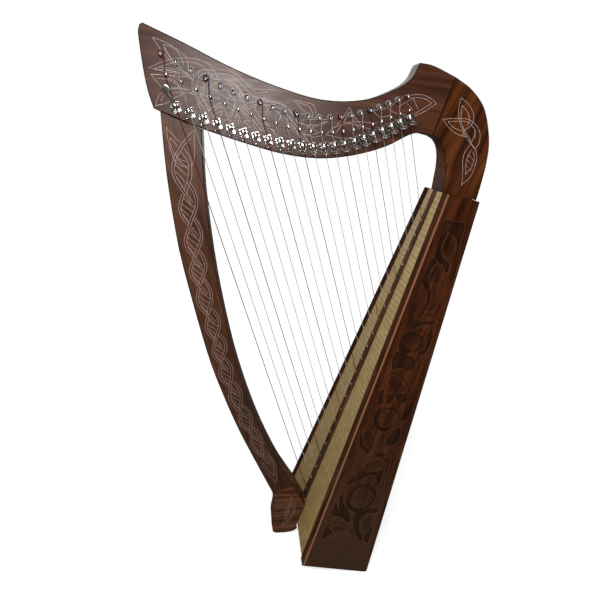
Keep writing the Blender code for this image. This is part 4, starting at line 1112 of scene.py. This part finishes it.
def inlayFinish():
    # pale filling, worn dull in patches, and darkened towards the floor by painted shade
    dull, dark = (tuple(c * inlay[share] for c in inlay["colour"]) for share in ("dull", "low"))
    made, tree, shader, _ = handled("knotworkPaint", inlay["colour"], dull, 160.0, 0.1, 0.45)
    # painted shade: the filling darkens towards the floor
    low = ramp(tree, axisOf(tree, coordinate(tree), "Z"), (0.10, 0.65), (0.75, 0.0))
    feedAll(tree, shader, Base_Color=mix(tree, low, soFar(shader, "Base Color"), dark))
    return made


def buildKnotwork():
    paint = inlayFinish()
    # lines drawn smooth, and lines drawn with their corners kept
    drawn = {
        "neck": (neckLines, neckCorners), "shoulder": (shoulderLines[:12], shoulderLines[12:]),
        "foot_block": (footLines, []), "pillar": (braidTips, braidLines()),
    }
    for target, (smooth, cornered) in drawn.items():
        ribbons = [ribbon(line, target) for line in smooth]
        ribbons += [ribbon(line, target, True) for line in cornered]
        outwards(meshPiece(target + "_knotwork", several(ribbons), paint, smooth=False))


buildKnotwork()
print("knotwork laid")


# floor, light and camera

studio = {
    "floorSize": 40.0, "pale": 0.93, "sky": 0.34, "floorGlow": 0.56, "sun": 0.8, "sunAngle": 35,
    "sunWay": (0.35, 0.75, -1.0), "flash": 4.8, "flashSize": 0.26, "flashPlace": (-0.12, -0.88, 0.93),
    "flashTarget": (-0.05, 0, 0.75), "room": 0.04, "mirroredFloor": 0.12,
}
view = {
    "place": (-74.5 * mm, -842 * mm, 793.2 * mm), "lens": 30.0, "sensor": 36.0, "vanish": (246.0, 127.0),
    "middle": 300, "focal": 500.0, "roll": 2.04,
}


def seenPlainly(tree):
    # 1 for what the camera sees straight, or through something clear; and 1 for what gloss mirrors
    path = node(tree, "LightPath")
    return maths(tree, "MAXIMUM", path["Is Camera Ray"], path["Is Transmission Ray"]), path["Is Glossy Ray"]


def buildFloor():
    # white paper, seen brighter than it lights; gloss and metal mirror a dim one, as the room lay unlit
    half = studio["floorSize"] / 2
    mesh = bpy.data.meshes.new("floor")
    corners = [(-half, -half, 0), (half, -half, 0), (half, half, 0), (-half, half, 0)]
    mesh.from_pydata(corners, [], [(0, 1, 2, 3)])
    placed("floor", mesh)
    made, tree, shader = shaderTree("floorPaper")
    seen, mirrored = seenPlainly(tree)
    pale, mottled = ((studio["pale"] * share,) * 3 for share in (1.0, 0.98))
    paper = mix(tree, noise(tree, coordinate(tree), 40.0, 3.0), pale, mottled)
    feedAll(tree, shader, Roughness=0.8, Specular_IOR_Level=0.1, Emission_Color=(1, 1, 1),
            Emission_Strength=times(tree, seen, studio["floorGlow"]),
            Base_Color=mix(tree, mirrored, paper, (studio["mirroredFloor"],) * 3))
    mesh.materials.append(made)


def buildWorld():
    # white behind the harp; metal mirrors that, and the dim room in front of it
    world = bpy.data.worlds.new("studioWorld")
    bpy.context.scene.world = world
    world.use_nodes = True
    tree = world.node_tree
    seen, mirrored = seenPlainly(tree)
    toBack = axisOf(tree, coordinate(tree, "Generated"), "Y")
    room = ramp(tree, halved(tree, toBack), (0.5, studio["room"]), (0.78, 1.0))
    strength = mixValue(tree, mirrored, studio["sky"], room)
    feedAll(tree, tree.nodes["Background"], Color=(1, 1, 1), Strength=mixValue(tree, seen, strength, 1.0))


def lamp(name, kind, place, way, **settings):
    # a lamp at a place, shining along a direction
    data = bpy.data.lights.new(name, kind)
    for key, value in settings.items():
        setattr(data, key, value)
    made = placed(name, data)
    made.location = place
    made.rotation_euler = Vector(way).to_track_quat("-Z", "Y").to_euler()


def buildCamera():
    # the photograph's own view: lens, stand and turn were found from the strings and the edges of the harp
    across, down = (v - view["middle"] for v in view["vanish"])
    ahead = np.array([across, down, view["focal"]])
    ahead /= np.linalg.norm(ahead)
    fall = np.array([0, -ahead[2], ahead[1]])
    fall /= np.linalg.norm(fall)
    right = np.cross(ahead, fall)
    right = right if right[0] > 0 else -right
    c, s = math.cos(math.radians(view["roll"])), math.sin(math.radians(view["roll"]))
    toCamera = np.array([c * right - s * fall, ahead, s * right + c * fall])
    data = bpy.data.cameras.new("camera")
    data.lens, data.sensor_width = view["lens"], view["sensor"]
    data.clip_start, data.clip_end = 0.01, 100
    made = placed("camera", data)
    matrix = Matrix((toCamera * np.array([1, -1, -1])).tolist()).to_4x4()
    matrix.translation = Vector(view["place"]) + Vector((harpShift, 0, 0))
    made.matrix_world = matrix
    bpy.context.scene.camera = made


buildFloor()
buildWorld()
lamp("sun", "SUN", (0, 0, 0), studio["sunWay"], energy=studio["sun"], angle=math.radians(studio["sunAngle"]))
lamp("flash", "AREA", studio["flashPlace"], Vector(studio["flashTarget"]) - Vector(studio["flashPlace"]),
     energy=studio["flash"], size=studio["flashSize"])
buildCamera()
bpy.context.scene.view_settings.view_transform = "Standard"
print("studio ready")
